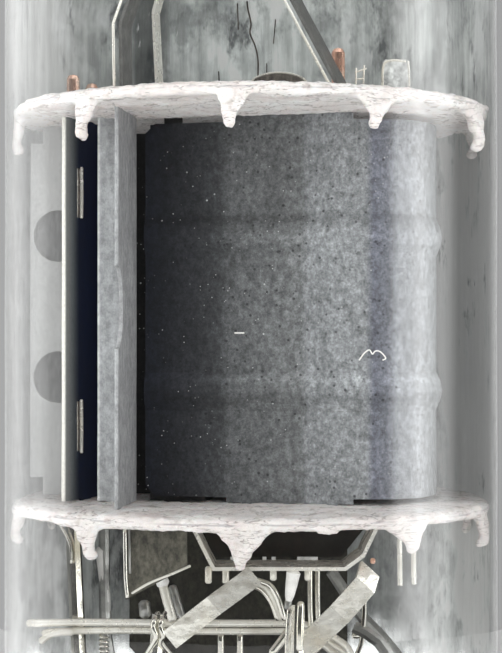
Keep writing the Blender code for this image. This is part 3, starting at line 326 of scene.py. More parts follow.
def inner_film(name):
    """The film's inner face: upright streaks, pale smoke, dark stains, scratches."""
    look = Film(name, rough=0.55, Specular_IOR_Level=0.3)
    tone = look.ramp(look.cloud, [(0.30, (0.12, 0.128, 0.128)), (0.48, (0.24, 0.253, 0.248)),
                                  (0.66, (0.40, 0.42, 0.41))])
    # Painted light and shade on the film, by x and, beside the cage, by height.
    tone = look.mix(1.0, tone, look.across(0, -18.0, 18.0, FILM_PAINTED_LIGHT), "MULTIPLY")
    tone = look.mix(look.span(look.axes[0], 13.0, 15.5), tone,
                    look.mix(1.0, tone, look.across(2, 36.0, 102.0, SIDE_PAINTED_LIGHT), "MULTIPLY"))
    blotch = look.span(look.noise(4.2, 5.0, 0.72, (1.0, 1.0, 1.5), 51.0), 0.50, 0.62)
    tone = look.mix(look.math("MULTIPLY", blotch, 0.5), tone, (0.10, 0.107, 0.107))
    corner = look.math("MULTIPLY", look.span(look.axes[0], -12.0, -14.5),
                       look.span(look.axes[2], 80.0, 84.0))
    tone = look.mix(look.math("MULTIPLY", corner, 0.7), tone, (0.60, 0.61, 0.60))
    tone = look.mix(1.0, tone, look.ramp(look.streak, [(0.3, 0.72), (0.7, 1.3)]), "MULTIPLY")
    smoke = look.span(look.noise(5.0, 4.0, 0.6, (1.0, 1.0, 1.3), 21.0), 0.52, 0.66)
    tone = look.mix(look.math("MULTIPLY", smoke, 0.8), tone, (0.78, 0.80, 0.80))
    tone = look.mix(look.math("MULTIPLY", look.stain, 0.8), tone, (0.05, 0.055, 0.06))
    scratch = look.span(look.noise(0.35, 2.0, 0.6, (1.0, 1.0, 5.0), 9.0), 0.68, 0.74)
    tone = look.mix(look.math("MULTIPLY", scratch, 0.6), tone, (0.75, 0.76, 0.75))
    look.set("Base Color", look.mix(1.0, tone, (0.80, 0.81, 0.80), "DARKEN"))
    return look.material


def film_mirror(name):
    """The film's outer face, seen through the glass: a dull silvery mirror, brown where it is thin."""
    look = Film(name, rough=0.34, metal=0.8)
    tone = look.ramp(look.cloud, [(0.32, (0.13, 0.135, 0.14)), (0.64, (0.27, 0.27, 0.265))])
    thin = look.span(look.axes[1], 3.0, -4.0)
    tone = look.mix(look.math("MULTIPLY", thin, 0.7), tone, (0.15, 0.12, 0.095))
    look.set("Base Color", look.mix(look.math("MULTIPLY", look.stain, 0.6), tone, (0.07, 0.06, 0.055)))
    look.set("Roughness", look.span(look.streak, 0.3, 0.7, 0.24, 0.46))
    return look.material


def dome_flash(name):
    """Silvery metal deposit at the top of the bulb, thin and brown at its ragged lower edge."""
    look = Look(name, (0.42, 0.42, 0.41), 0.2, 0.9)
    cloud = look.noise(3.5, 5.0, 0.65)
    ragged = look.math("ADD", look.axes[2], look.span(cloud, 0.3, 0.7, -1.2, 1.2))
    tone = look.ramp(cloud, [(0.3, (0.30, 0.30, 0.29)), (0.7, (0.52, 0.52, 0.51))])
    look.set("Base Color", look.mix(look.span(ragged, 97.8, 95.6), tone, (0.16, 0.11, 0.075)))
    look.set("Roughness", look.span(cloud, 0.3, 0.7, 0.14, 0.34))
    look.set("Alpha", look.math("MULTIPLY", look.span(ragged, 95.0, 97.2), 0.96))
    look.clear_for_light()
    return look.material


def bakelite(name):
    """Dark brown moulded phenolic with faint flow marks and handling scuffs."""
    look = Look(name, rough=0.34, Specular_IOR_Level=0.5, Coat_Weight=0.15, Coat_Roughness=0.2)
    flow = look.noise(4.5, 4.0, 0.6, (1.0, 1.0, 0.5))
    grain = look.noise(0.25, 3.0, 0.6)
    tone = look.ramp(flow, [(0.3, (0.013, 0.009, 0.007)), (0.7, (0.034, 0.021, 0.016))])
    tone = look.mix(1.0, tone, look.ramp(grain, [(0.3, 0.85), (0.7, 1.15)]), "MULTIPLY")
    scuff = look.span(look.noise(1.6, 4.0, 0.75, (3.0, 3.0, 0.4), 6.0), 0.66, 0.78)
    look.set("Base Color", look.mix(look.math("MULTIPLY", scuff, 0.35), tone, (0.11, 0.085, 0.075)))
    look.set("Roughness", look.span(flow, 0.3, 0.7, 0.26, 0.46))
    look.bump(grain, 0.15, 0.02)
    return look.material


def arm_and_panel(name):
    """One folded sheet: the arm is painted nearly black as shade, with a painted highlight on its cut edge,
    the panel pale grey.
    """
    look = Look(name, rough=0.42, Specular_IOR_Level=0.2)
    cloud = look.noise(2.0, 4.0, 0.6, (1.0, 1.0, 3.0))
    grain = look.noise(0.2, 3.0, 0.7)
    # Painted shade on the arm, with a painted highlight along its cut edge.
    dark = look.across(0, -13.2, -10.0, [(-13.2, (0.80, 0.785, 0.72)), (-12.86, (0.80, 0.785, 0.72)),
                                        (-12.80, (0.14, 0.15, 0.14)), (-12.45, (0.10, 0.112, 0.118)),
                                        (-12.1, (0.002, 0.008, 0.032)), (-10.0, (0.0, 0.008, 0.060))])
    pale = look.ramp(cloud, [(0.3, (0.44, 0.45, 0.445)), (0.7, (0.57, 0.58, 0.575))])
    arm = look.span(look.axes[1], 0.02, -0.10)
    tone = look.mix(arm, pale, dark)
    tone = look.mix(1.0, tone, look.ramp(grain, [(0.3, 0.85), (0.7, 1.15)]), "MULTIPLY")
    look.set("Base Color", tone)
    look.set("Roughness", look.span(cloud, 0.3, 0.7, 0.34, 0.55))
    look.bump(grain, 0.3, 0.02)
    return look.material


def floor_look():
    look = Look("floor", (0.86, 0.86, 0.855), 0.7)
    tone = look.ramp(look.noise(40.0, 3.0), [(0.3, (0.85, 0.85, 0.845)), (0.7, (0.87, 0.87, 0.865))])
    look.set("Base Color", tone)
    rays = look.tree.nodes.new("ShaderNodeLightPath").outputs
    seen_by = look.math("MAXIMUM", rays["Is Camera Ray"], rays["Is Transmission Ray"])
    look.set("Emission Color", (1.0, 1.0, 1.0, 1.0))
    look.set("Emission Strength", look.math("MULTIPLY", seen_by, 0.35))
    return look.material


# Painted light and shade: these factors lift or lower the film's tone by place.
# Brightness of the film from left to right, tuned to the photo: (x in mm, factor)
FILM_PAINTED_LIGHT = ((-18.0, 1.3), (-14.0, 1.35), (-12.0, 1.45), (-10.2, 1.6), (-9.5, 0.7), (-8.0, 0.5),
              (-7.2, 0.95), (-6.4, 1.8), (-1.0, 2.9), (4.0, 2.5), (9.0, 1.8), (12.5, 1.6), (15.5, 2.4),
              (18.0, 2.8))
# The same beside the cage, by height in mm
SIDE_PAINTED_LIGHT = ((36.0, 1.25), (50.0, 1.3), (54.0, 1.8), (77.0, 1.8), (81.0, 0.7), (102.0, 0.7))


# Mesh building

def add_mesh(name, verts, faces, material, slot=None, smooth=40):
    mesh = bpy.data.meshes.new(name)
    mesh.from_pydata([tuple(v) for v in verts], [], faces)
    mesh.validate()
    piece = bpy.data.objects.new(name, mesh)
    SCENE.collection.objects.link(piece)
    mesh.materials.append(material)
    if smooth:
        mesh.shade_smooth()
        mesh.set_sharp_from_angle(angle=math.radians(smooth))
    if slot:
        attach(piece, "root")
    return piece


def revolve(name, profile, steps, material, slot, start=0.0, end=360.0):
    """A surface of revolution from (radius, height) points in mm."""
    whole = end - start >= 360.0
    columns = steps if whole else steps + 1
    verts = []
    for column in range(columns):
        for radius, height in profile:
            verts.append(around(max(radius, 0.0), start + (end - start) * column / steps, height))
    rows = len(profile)
    faces = []
    for column in range(steps):
        after = (column + 1) % columns
        for row in range(rows - 1):
            faces.append([column * rows + row, column * rows + row + 1, after * rows + row + 1,
                          after * rows + row])
    piece = add_mesh(name, verts, faces, material, slot, smooth=35)
    shape = bmesh.new()
    shape.from_mesh(piece.data)
    bmesh.ops.remove_doubles(shape, verts=shape.verts, dist=0.000001)
    bmesh.ops.recalc_face_normals(shape, faces=shape.faces)
    shape.to_mesh(piece.data)
    shape.free()
    return piece


def arc(center, radii, start, end, steps):
    points = []
    for index in range(steps + 1):
        turn = math.radians(start + (end - start) * index / steps)
        points.append((center[0] + radii[0] * math.cos(turn), center[1] + radii[1] * math.sin(turn)))
    return points


def through(route, per_span=6):
    """Points on a smooth curve through the route's points."""
    ends = [route[0] * 2 - route[1]] + list(route) + [route[-1] * 2 - route[-2]]
    points = []
    for a, b, c, d in zip(ends, ends[1:], ends[2:], ends[3:]):
        for index in range(per_span):
            t = index / per_span
            points.append(0.5 * ((2 * b) + (c - a) * t + (2 * a - 5 * b + 4 * c - d) * t * t
                                 + (3 * b - a - 3 * c + d) * t ** 3))
    points.append(route[-1])
    return points


def tube(name, points, radii, material, slot, sides=12):
    """A round wire of changing radius (mm) along points, with rounded ends."""
    if not isinstance(radii, (list, tuple)):
        radii = [radii] * len(points)
    first = (points[1] - points[0]).normalized()
    last = (points[-1] - points[-2]).normalized()
    path = ([points[0] - first * radii[0] * 0.45 * MM] + list(points)
            + [points[-1] + last * radii[-1] * 0.45 * MM])
    sizes = [radii[0] * 0.55] + list(radii) + [radii[-1] * 0.55]
    verts = []
    side = None
    for index, place in enumerate(path):
        run = (path[min(index + 1, len(path) - 1)] - path[max(index - 1, 0)]).normalized()
        if side is None:
            side = run.orthogonal().normalized()
        side = (side - run * side.dot(run)).normalized()
        other = run.cross(side)
        for step in range(sides):
            turn = math.tau * step / sides
            verts.append(place + (side * math.cos(turn) + other * math.sin(turn)) * sizes[index] * MM)
    faces = []
    for index in range(len(path) - 1):
        for step in range(sides):
            after = (step + 1) % sides
            faces.append([index * sides + step, index * sides + after,
                          (index + 1) * sides + after, (index + 1) * sides + step])
    faces.append(list(range(sides))[::-1])
    faces.append([(len(path) - 1) * sides + step for step in range(sides)])
    return add_mesh(name, verts, faces, material, slot, smooth=60)


def baked(piece):
    """The piece's mesh with its modifiers applied."""
    graph = bpy.context.evaluated_depsgraph_get()
    mesh = bpy.data.meshes.new_from_object(piece.evaluated_get(graph))
    piece.modifiers.clear()
    old = piece.data
    piece.data = mesh
    bpy.data.meshes.remove(old)


# Camera, light and stage

# What mirrors see around them: two tall soft lights and a pale room behind.
# Angles run from the front, + to the right.
MIRRORED = ((-180, 0.55), (-124, 0.36), (-108, 0.40), (-96, 3.4), (-89, 3.4), (-78, 0.12), (-66, 0.05),
            (0, 0.035), (48, 0.08), (58, 0.5), (66, 4.4), (73, 4.4), (84, 0.35), (124, 0.36), (180, 0.55))


def studio():
    data = bpy.data.cameras.new("camera")
    data.lens = FOCAL * 36.0 / 653.0
    data.sensor_width = 36.0
    data.sensor_height = 36.0
    data.sensor_fit = "AUTO"
    data.clip_start = 0.005
    data.clip_end = 20.0
    camera = bpy.data.objects.new("camera", data)
    camera.location = (0.0, -CAMERA_FRONT * MM, CAMERA_HEIGHT * MM)
    camera.rotation_euler = (math.pi / 2 + math.atan((HORIZON - 326.5) / FOCAL), 0.0, 0.0)
    SCENE.collection.objects.link(camera)
    SCENE.camera = camera
    SCENE.view_settings.view_transform = "Standard"

    rim = [around(280.0, 5.0 * step, -0.2) for step in range(72)]
    floor = add_mesh("floor", rim, [list(range(72))[::-1]], floor_look(), smooth=0)

    for name, angle, height, wide, tall, power in (
            ("left_strip", -72.0, 0.10, 0.24, 0.95, 1.9), ("right_strip", 70.0, 0.10, 0.24, 0.95, 0.6),
            ("front_fill", 8.0, 0.10, 0.40, 0.60, 1.0), ("back_left", -150.0, 0.12, 0.35, 0.8, 0.8),
            ("back_right", 150.0, 0.12, 0.35, 0.8, 0.8)):
        lamp = bpy.data.lights.new(name, "AREA")
        lamp.shape = "RECTANGLE"
        lamp.size = wide
        lamp.size_y = tall
        lamp.energy = power
        holder = bpy.data.objects.new(name, lamp)
        place = around(600.0, angle, 0.0) + Vector((0.0, 0.0, height))
        holder.location = place
        holder.rotation_euler = (Vector((0.0, 0.0, 0.06)) - place).to_track_quat("-Z", "Y").to_euler()
        holder.visible_camera = False
        holder.visible_glossy = False
        SCENE.collection.objects.link(holder)

    world = bpy.data.worlds.new("studio")
    SCENE.world = world
    world.use_nodes = True
    tree = world.node_tree
    tree.nodes.clear()
    rays = tree.nodes.new("ShaderNodeLightPath").outputs

    def background(strength):
        made = tree.nodes.new("ShaderNodeBackground")
        made.inputs[0].default_value = (1.0, 1.0, 1.0, 1.0)
        if isinstance(strength, bpy.types.NodeSocket):
            tree.links.new(strength, made.inputs[1])
        else:
            made.inputs[1].default_value = strength
        return made.outputs[0]

    def blend(share, first, second):
        made = tree.nodes.new("ShaderNodeMixShader")
        tree.links.new(share, made.inputs[0])
        tree.links.new(first, made.inputs[1])
        tree.links.new(second, made.inputs[2])
        return made.outputs[0]

    def math_node(operation, *inputs):
        made = tree.nodes.new("ShaderNodeMath")
        made.operation = operation
        for socket, value in zip(made.inputs, inputs):
            if isinstance(value, bpy.types.NodeSocket):
                tree.links.new(value, socket)
            else:
                socket.default_value = value
        return made.outputs[0]

    direction = tree.nodes.new("ShaderNodeTexCoord").outputs["Generated"]
    parts = tree.nodes.new("ShaderNodeSeparateXYZ")
    tree.links.new(direction, parts.inputs[0])
    azimuth = math_node("ARCTAN2", parts.outputs["X"], math_node("MULTIPLY", parts.outputs["Y"], -1.0))
    turn = math_node("ADD", math_node("DIVIDE", azimuth, math.tau), 0.5)
    ramp = tree.nodes.new("ShaderNodeValToRGB")
    tree.links.new(turn, ramp.inputs[0])
    ramp.color_ramp.interpolation = "EASE"
    while len(ramp.color_ramp.elements) < len(MIRRORED):
        ramp.color_ramp.elements.new(1.0)
    brightest = max(light for _, light in MIRRORED)
    for element, (angle, light) in zip(ramp.color_ramp.elements, MIRRORED):
        element.position = angle / 360.0 + 0.5
        element.color = (light / brightest, light / brightest, light / brightest, 1.0)
    level = math_node("MULTIPLY", ramp.outputs[0], brightest)
    overhead = tree.nodes.new("ShaderNodeMapRange")
    for socket, value in zip(overhead.inputs[1:], (0.25, 0.75, 0.0, 1.1)):
        socket.default_value = value
    tree.links.new(parts.outputs["Z"], overhead.inputs[0])
    level = math_node("MAXIMUM", level, overhead.outputs[0])
    sky = tree.nodes.new("ShaderNodeMapRange")
    for socket, value in zip(sky.inputs[1:], (0.15, 0.8, 1.6, 0.65)):
        socket.default_value = value
    tree.links.new(parts.outputs["Z"], sky.inputs[0])
    sight = math_node("MAXIMUM", rays["Is Camera Ray"], rays["Is Transmission Ray"])
    shown = blend(rays["Is Glossy Ray"], background(sky.outputs[0]), background(level))
    shown = blend(sight, shown, background(1.0))
    output = tree.nodes.new("ShaderNodeOutputWorld")
    tree.links.new(shown, output.inputs[0])


# Glass

def glass_pieces():
    glass = bulb_glass("bulb_glass")
    top, dome, radius, wall = 102.0, 13.5, 19.05, 1.2
    neck, neck_top, neck_foot, shoulder = 15.3, 30.4, 24.5, 37.5
    inner = radius - wall
    outside = arc((0.0, top - dome), (radius, dome), 90, 0, 24)
    bend = [(neck + (radius - neck) * (0.5 + 0.5 * math.cos(math.pi * t / 16)),
             shoulder - (shoulder - neck_top) * t / 16) for t in range(17)]
    inside = arc((0.0, top - dome), (inner, dome - wall), 0, 90, 24)
    profile = outside + [(radius, 88.0 - 5.0 * i) for i in range(10)] + bend
    profile += [(neck, neck_foot + 0.3), (neck - 0.3, neck_foot), (neck - wall + 0.3, neck_foot),
                (neck - wall, neck_foot + 0.3)]
    profile += [(r - wall, h) for r, h in reversed(bend)]
    profile += [(inner, 43.0 + 5.0 * i) for i in range(10)] + inside
    bulb = revolve("bulb", profile, 128, glass, "clear_glass")
    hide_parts("glass_bulb")

    lead, stem, under, tip, bore, tube_radius = 12.2, 35.4, 32.8, 7.4, 1.2, 2.55
    profile = [(0.0, tip + 3.0), (bore * 0.7, tip + 3.2), (bore, tip + 4.0), (bore, stem - 0.6),
               (bore + 0.6, stem), (lead - 2.3, stem), (lead - 1.5, stem + 0.4), (lead - 0.9, stem + 0.85),
               (lead, stem + 1.0), (lead + 0.7, stem + 0.75), (13.7, stem + 0.1), (13.8, stem - 0.4),
               (13.8, under + 0.7), (13.5, under + 0.15), (13.0, under), (5.4, under), (3.7, under - 0.4),
               (2.8, under - 1.6), (tube_radius, under - 3.4), (tube_radius, tip + 5.0),
               (tube_radius * 0.85, tip + 3.0), (tube_radius * 0.5, tip + 1.2), (0.5, tip + 0.2), (0.0, tip)]
    stem_piece = revolve("stem", profile, 96, glass, "clear_glass")
    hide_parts("glass_stem")

    for name, gap, material in (("wall_film", 0.20, inner_film("smoky_film")),
                                ("wall_mirror", 0.08, film_mirror("mirror_film"))):
        profile = [(inner - gap, 38.0 + 3.8 * i) for i in range(13)]
        profile += arc((0.0, top - dome), (inner - gap, dome - wall - gap), 4, 60, 12)
        revolve(name, profile, 72, material, "clear_glass", 60.0, 300.0)
    profile = arc((0.0, top - dome), (inner - 0.3, dome - wall - 0.3), 28, 90, 24)
    revolve("dome_flash", profile, 96, dome_flash("dome_flash"), "clear_glass")


# Base and pins

def base_pieces():
    resin = bakelite("bakelite")
    foot, rim, radius, wall, lip, taper, key = 14.3, 28.8, 16.8, 1.2, 2.2, 0.3, 3.95
    inner, floor, hollow = radius - wall, foot + 2.5, key - 1.0
    profile = [(0.0, 4.4), (hollow, 4.4), (hollow, floor), (inner - 0.5, floor), (inner, floor + 0.5),
               (inner, rim - 0.2), (inner + 0.2, rim)]
    profile += arc((radius - taper, rim - 0.3), (taper, 0.3), 90, 0, 5)
    profile += arc((radius - 0.25, rim - lip), (0.25, 0.25), 0, -90, 4)
    profile += [(radius - taper - 0.08, rim - lip - 0.30), (radius - taper, rim - lip - 0.55)]
    profile += arc((radius - taper - 1.0, foot + 1.0), (1.0, 1.0), 0, -90, 10)
    profile += [(12.6, foot), (12.5, foot + 0.12), (12.2, foot + 0.12), (12.1, foot), (key + 0.5, foot)]
    profile += arc((key + 0.5, foot - 0.5), (0.5, 0.5), 90, 180, 5)
    profile += arc((key - 0.55, 0.55), (0.55, 0.55), 0, -90, 6)
    profile += [(0.0, 0.0)]
    shell = revolve("base", profile, 160, resin, "base_resin")
    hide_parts("base_shell")
    half, reach, count = 0.65, key + 0.45, 19
    verts = []
    for height, inset in ((0.55, 0.12), (0.70, 0.0), (foot + 0.3, 0.0)):
        for step in range(count - 2):
            turn = math.radians(-90.0 + 180.0 * step / (count - 3))
            out, side = reach + (half - inset) * math.cos(turn), (half - inset) * math.sin(turn)
            verts.append(around(math.hypot(out, side), -98.5 + math.degrees(math.atan2(side, out)), height))
        for side in (half - inset, inset - half):
            verts.append(around(math.hypot(key - 0.4, side),
                                -98.5 + math.degrees(math.atan2(side, key - 0.4)), height))
    faces = [list(range(count))[::-1], [2 * count + i for i in range(count)]]
    faces += [[row * count + i, row * count + (i + 1) % count, (row + 1) * count + (i + 1) % count,
               (row + 1) * count + i] for row in range(2) for i in range(count)]
    add_mesh("key_rib", verts, faces, resin, "base_resin", smooth=40)
    plated = metal("pin_plate", (0.72, 0.71, 0.67), (0.45, 0.44, 0.40), 0.26, 1.6, (1.0, 1.0, 2.0),
                   (0.52, 0.50, 0.47))
    tip = foot - 11.1
    heights = (floor + 0.35, floor + 0.1, floor - 0.1, tip + 1.5, tip + 1.3, tip + 0.8, tip + 0.3, tip)
    radii = (0.9, 1.12, 1.18, 1.18, 1.15, 1.0, 0.66, 0.3)
    for index in range(8):
        angle = -76.0 + 45.0 * index
        pin = tube("pin_%d" % (index + 1), [around(8.725, angle, height) for height in heights],
                   radii, plated, "bright_nickel", 28)
        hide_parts("base_pin_%d" % (index + 1))


# Coated mica discs

def coated_mica(name, node, underside, claws, seed, coat_painted_light):
    """A disc under a thick uneven coat that runs down the bent claws of its rim."""
    rng = random.Random(seed)
    shape = bmesh.new()
    sides = 180
    level = underside + 0.25
    rings = []
    wobble = [0.0] * sides
    for harmonic in range(2, 26):
        size = 0.09 / harmonic ** 0.5
        phase = rng.uniform(0.0, math.tau)
        for index in range(sides):
            wobble[index] += size * 0.5 * math.sin(harmonic * math.tau * index / sides + phase)
    for radius, height in ((0.0, 0.44), (16.2, 0.44), (16.9, 0.36), (17.2, 0.12), (17.25, -0.12),
                           (16.95, -0.42), (16.2, -0.5), (0.0, -0.5)):
        ring = []
        for index in range(sides if radius else 1):
            place = around(radius + (wobble[index] if radius else 0.0), 360.0 * index / sides,
                           level + height)
            ring.append(shape.verts.new(place))
        rings.append(ring)
    for low, high in zip(rings, rings[1:]):
        for index in range(sides):
            after = (index + 1) % sides
            corners = [low[index % len(low)], low[after % len(low)], high[after % len(high)],
                       high[index % len(high)]]
            corners = [c for i, c in enumerate(corners) if c not in corners[:i]]
            shape.faces.new(corners)

    def blob(middle, wide, deep, tall, angle):
        place = (Matrix.Translation(middle) @ Matrix.Rotation(math.radians(angle), 4, "Z")
                 @ Matrix.Diagonal((wide * MM, deep * MM, tall * MM, 1.0)))
        bmesh.ops.create_icosphere(shape, subdivisions=2, radius=1.0, matrix=place)

    for angle, drop, spread in claws:
        lean = rng.uniform(-1.0, 1.0)
        for side in (-1, 1):
            for step in range(13):
                t = step / 12
                apart = side * spread * (1.0 - t) ** 1.3 + rng.uniform(-0.05, 0.05)
                middle = around(16.75 + 0.35 * math.sin(t * 1.8), angle + lean * t * 2.0 + 3.4 * apart,
                                underside + 0.15 - drop * t)
                blob(middle, 0.36 + 0.30 * (1.0 - t) ** 2, 0.36, 0.36, angle)
        for step in range(5):
            t = step / 8
            blob(around(16.7, angle, underside + 0.15 - drop * t), spread * (1.0 - t), 0.24, 0.4, angle)
        blob(around(16.9, angle + lean * 2.0, underside + 0.1 - drop), 0.46, 0.40, 0.42, angle)
    for _ in range(60):
        angle = rng.uniform(0.0, 360.0)
        blob(around(rng.uniform(16.7, 17.1), angle, level + rng.uniform(-0.42, 0.30)),
             rng.uniform(0.5, 1.5), rng.uniform(0.18, 0.3), rng.uniform(0.14, 0.28), angle)

    mesh = bpy.data.meshes.new(name)
    shape.to_mesh(mesh)
    shape.free()
    piece = bpy.data.objects.new(name, mesh)
    SCENE.collection.objects.link(piece)
    remesh = piece.modifiers.new("melt", "REMESH")
    remesh.mode = "VOXEL"
    remesh.voxel_size = 0.2 * MM
    ease = piece.modifiers.new("ease", "SMOOTH")
    ease.factor = 0.6
    ease.iterations = 4
    baked(piece)
    normals = [vert.normal.copy() for vert in piece.data.vertices]
    for vert, normal in zip(piece.data.vertices, normals):
        place = vert.co / MM
        lump = (noise.noise(place * 0.55) * 0.10 + noise.noise(place * 1.7) * 0.09
                + noise.noise(place * 4.1) * 0.05)
        vert.co += normal * lump * MM
    piece.data.materials.clear()
    piece.data.materials.append(mica_white(name + "_coat", level, coat_painted_light))
    piece.data.shade_smooth()
    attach(piece, "root")
    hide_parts(node)
    return piece


def dress(look, *names):
    for name in names:
        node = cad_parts[name]
        node.data.materials.clear()
        node.data.materials.append(look)


# Small fittings seen in the photo: (image points, mm in front of the tube's middle)

def wire(name, points, radius, material, slot, front):
    """A round wire through image points; a point may end with its own distance in front."""
    route = [seen(p[0], p[1], p[2] if len(p) > 2 else front) for p in points]
    if len(route) > 2:
        route = through(route, 5)
    return tube(name, route, radius, material, slot)


def sleeve(name, top, foot, front, radii, node=None):
    """A tapered ceramic sleeve with a rolled mouth and a dark ring of wire below it."""
    upper, lower = seen(*top, front), seen(*foot, front)
    steps = (0.0, 0.03, 0.07, 0.45, 0.80, 0.95, 1.0)
    sizes = (0.86, 1.0, 0.96, 0.94, 0.84, 0.62, 0.56)
    points = [upper.lerp(lower, step) for step in steps]
    wide = [radii[0] + (radii[1] - radii[0]) * step for step in steps]
    piece = tube(name, points, [w * size for w, size in zip(wide, sizes)], CERAMIC, "white_ceramic", 20)
    if node:
        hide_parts(node)
    ring = lower.lerp(upper, 0.02)
    down = (lower - upper).normalized() * 0.45 * MM
    tube(name + "_ring", [ring, ring + down], radii[1] * 0.72, DULL, "dull_nickel", 16)


def flat_piece(name, outline, front, thickness, material, slot):
    """A flat plate with eased edges from an (x, z) outline in mm, counter-clockwise from the front."""
    verts = []
    half, ease = thickness / 2, 0.05
    middle = Vector((sum(x for x, _ in outline), sum(z for _, z in outline))) / len(outline)
    for forward, inset in ((half, ease), (half - ease, 0.0), (ease - half, 0.0), (-half, ease)):
        for x, z in outline:
            away = (Vector((x, z)) - middle).normalized() * inset
            verts.append(Vector((x - away.x, -(front + forward), z - away.y)) * MM)
    count = len(outline)
    faces = [list(range(count)), [3 * count + i for i in range(count)][::-1]]
    for row in range(3):
        for i in range(count):
            after = (i + 1) % count
            faces.append([row * count + i, (row + 1) * count + i, (row + 1) * count + after,
                          row * count + after])
    return add_mesh(name, verts, faces, material, slot, smooth=30)


def below_the_mica():
    bar = 4.1
    upper = wire("cross_rod_upper", ((29, 622), (90, 621), (180, 622), (290, 622)), 0.27, SATIN,
                 "bright_nickel", bar)
    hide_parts("tie_bar")
    wire("cross_rod_lower", ((44, 632), (60, 630), (120, 629), (200, 630), (292, 630)), 0.25, SATIN,
         "bright_nickel", bar - 0.2)
    for index, shift in enumerate((0, 7, 15)):
        wire("bent_rod_%d" % (index + 1),
             ((290, 621 + shift * 0.6), (312, 626 + shift * 0.7), (332, 636 + shift),
              (347, 648 + shift), (352, 668 + shift)), 0.27, SATIN, "bright_nickel", bar - 0.5 * index)
    wire("leaf_wire", ((42, 640), (50, 634), (62, 631), (72, 631)), 0.24, SATIN, "bright_nickel", bar + 0.35)
    for index, (x, end) in enumerate(((155.5, 146), (162.5, 172))):
        wire("twisted_wire_%d" % (index + 1),
             ((x + 2.5, 612, 9.2), (x, 618, 11.0), (x - 1.5, 626, 11.2), (x + 1, 634, 11.2),
              (x - 1, 641, 11.0), (end, 655, 10.2)), 0.17, BRIGHT, "bright_nickel", 11.0)
    wire("cream_rod", ((161, 577), (166, 597), (172, 618)), 0.33, SATIN, "bright_nickel", 5.0)
    wire("cream_rod_rear", ((172, 586), (177, 602), (182, 618)), 0.30, DULL, "dull_nickel", 4.0)
    wire("cream_rod_bead", ((160, 575), (163, 583)), 0.46, CERAMIC, "white_ceramic", 5.0)
    wire("grey_bead", ((144, 602), (145, 614)), 0.42, DULL, "dull_nickel", 4.6)
    sleeve("sleeve_left", (98, 548), (105, 612), -6.6, (0.46, 0.42), "lead_sleeve_3")
    sleeve("sleeve_right", (328, 571), (327, 601), -10.5, (0.58, 0.42), "lead_sleeve_2")
    sleeve("sleeve_middle", (292, 571), (287, 601), 9.0, (0.50, 0.34))
    wire("middle_pin", ((291, 565), (290, 575)), 0.2, DULL, "dull_nickel", 9.0)
    wire("double_rod_1", ((289, 606), (287, 640), (287, 700)), 0.26, BRIGHT, "bright_nickel", 9.0)
    wire("double_rod_2", ((299, 602, 11.9), (298, 625, 12.2), (298, 648, 12.2)), 0.24, BRIGHT,
         "bright_nickel", 12.0)
    for index, x in enumerate((308.5, 316.0)):
        wire("thin_rod_%d" % (index + 1), ((x, 566), (x, 600), (x + 1, 628)), 0.19, BRIGHT,
             "bright_nickel", 4.6)
    for index in range(3):
        wire("curved_rod_%d" % (index + 1),
             ((247 + 4 * index, 583 - 2 * index), (260 + 4 * index, 588 - 2 * index),
              (270 + 3 * index, 600 - 2 * index), (277 + 3 * index, 618)), 0.21,
             SATIN if index % 2 else BRIGHT, "bright_nickel", 5.3 + 0.46 * index)
    wire("rod_end", ((286, 631), (279, 641), (271, 651)), 0.30, BRIGHT, "bright_nickel", 5.2)
    for index, x in enumerate((220, 239)):
        wire("down_lead_%d" % (index + 1), ((x, 630), (x, 680), (x, 735)), 0.22, BRIGHT,
             "bright_nickel", 3.4)
    wire("strap_lead", ((362, 594, 7.2), (362, 615, 5.6), (360, 640, 4.6), (352, 660, 3.6)), 0.17,
         BRIGHT, "bright_nickel", 6.0)
    wire("right_loop", ((352, 634), (366, 634), (378, 643), (388, 660), (390, 690)), 0.25, BRIGHT,
         "bright_nickel", 4.4)
    for index, (x, end) in enumerate(((208, 581), (225, 581), (272, 578), (306, 578))):
        wire("bracket_tab_%d" % (index + 1), ((x, 567), (x, end)), 0.24, SATIN, "bright_nickel", 8.4)
    wire("brass_bead", ((369, 560), (371.5, 560)), 0.2, COPPER, "copper", 8.0)
    wire("post_tie", ((57, 519), (64, 531), (70, 545), (71, 562)), 0.12, BRIGHT, "bright_nickel", 3.0)
    wire("shield_edge", ((126, 527), (126.5, 560), (127, 580), (128.5, 596)), 0.13, BRIGHT,
         "bright_nickel", 10.5)
    wire("shield_edge_rear", ((130, 527), (131, 572)), 0.09, DULL, "dull_nickel", 10.5)
    wire("shield_foot", ((133, 592), (150, 582), (172, 573), (190, 565)), 0.09, SATIN,
         "bright_nickel", 10.4)
    middle = seen(104, 632, 3.6)
    turns = [middle + Vector((0.30 * math.cos(math.tau * i / 10), 0.30 * math.sin(math.tau * i / 10),
                              -0.032 * i)) * MM for i in range(100)]
    tube("spring", turns, 0.085, BRIGHT, "bright_nickel", 6)
    tube("spring_core", [middle, middle + Vector((0.0, 0.0, -6.2)) * MM], 0.2, DULL, "dull_nickel")


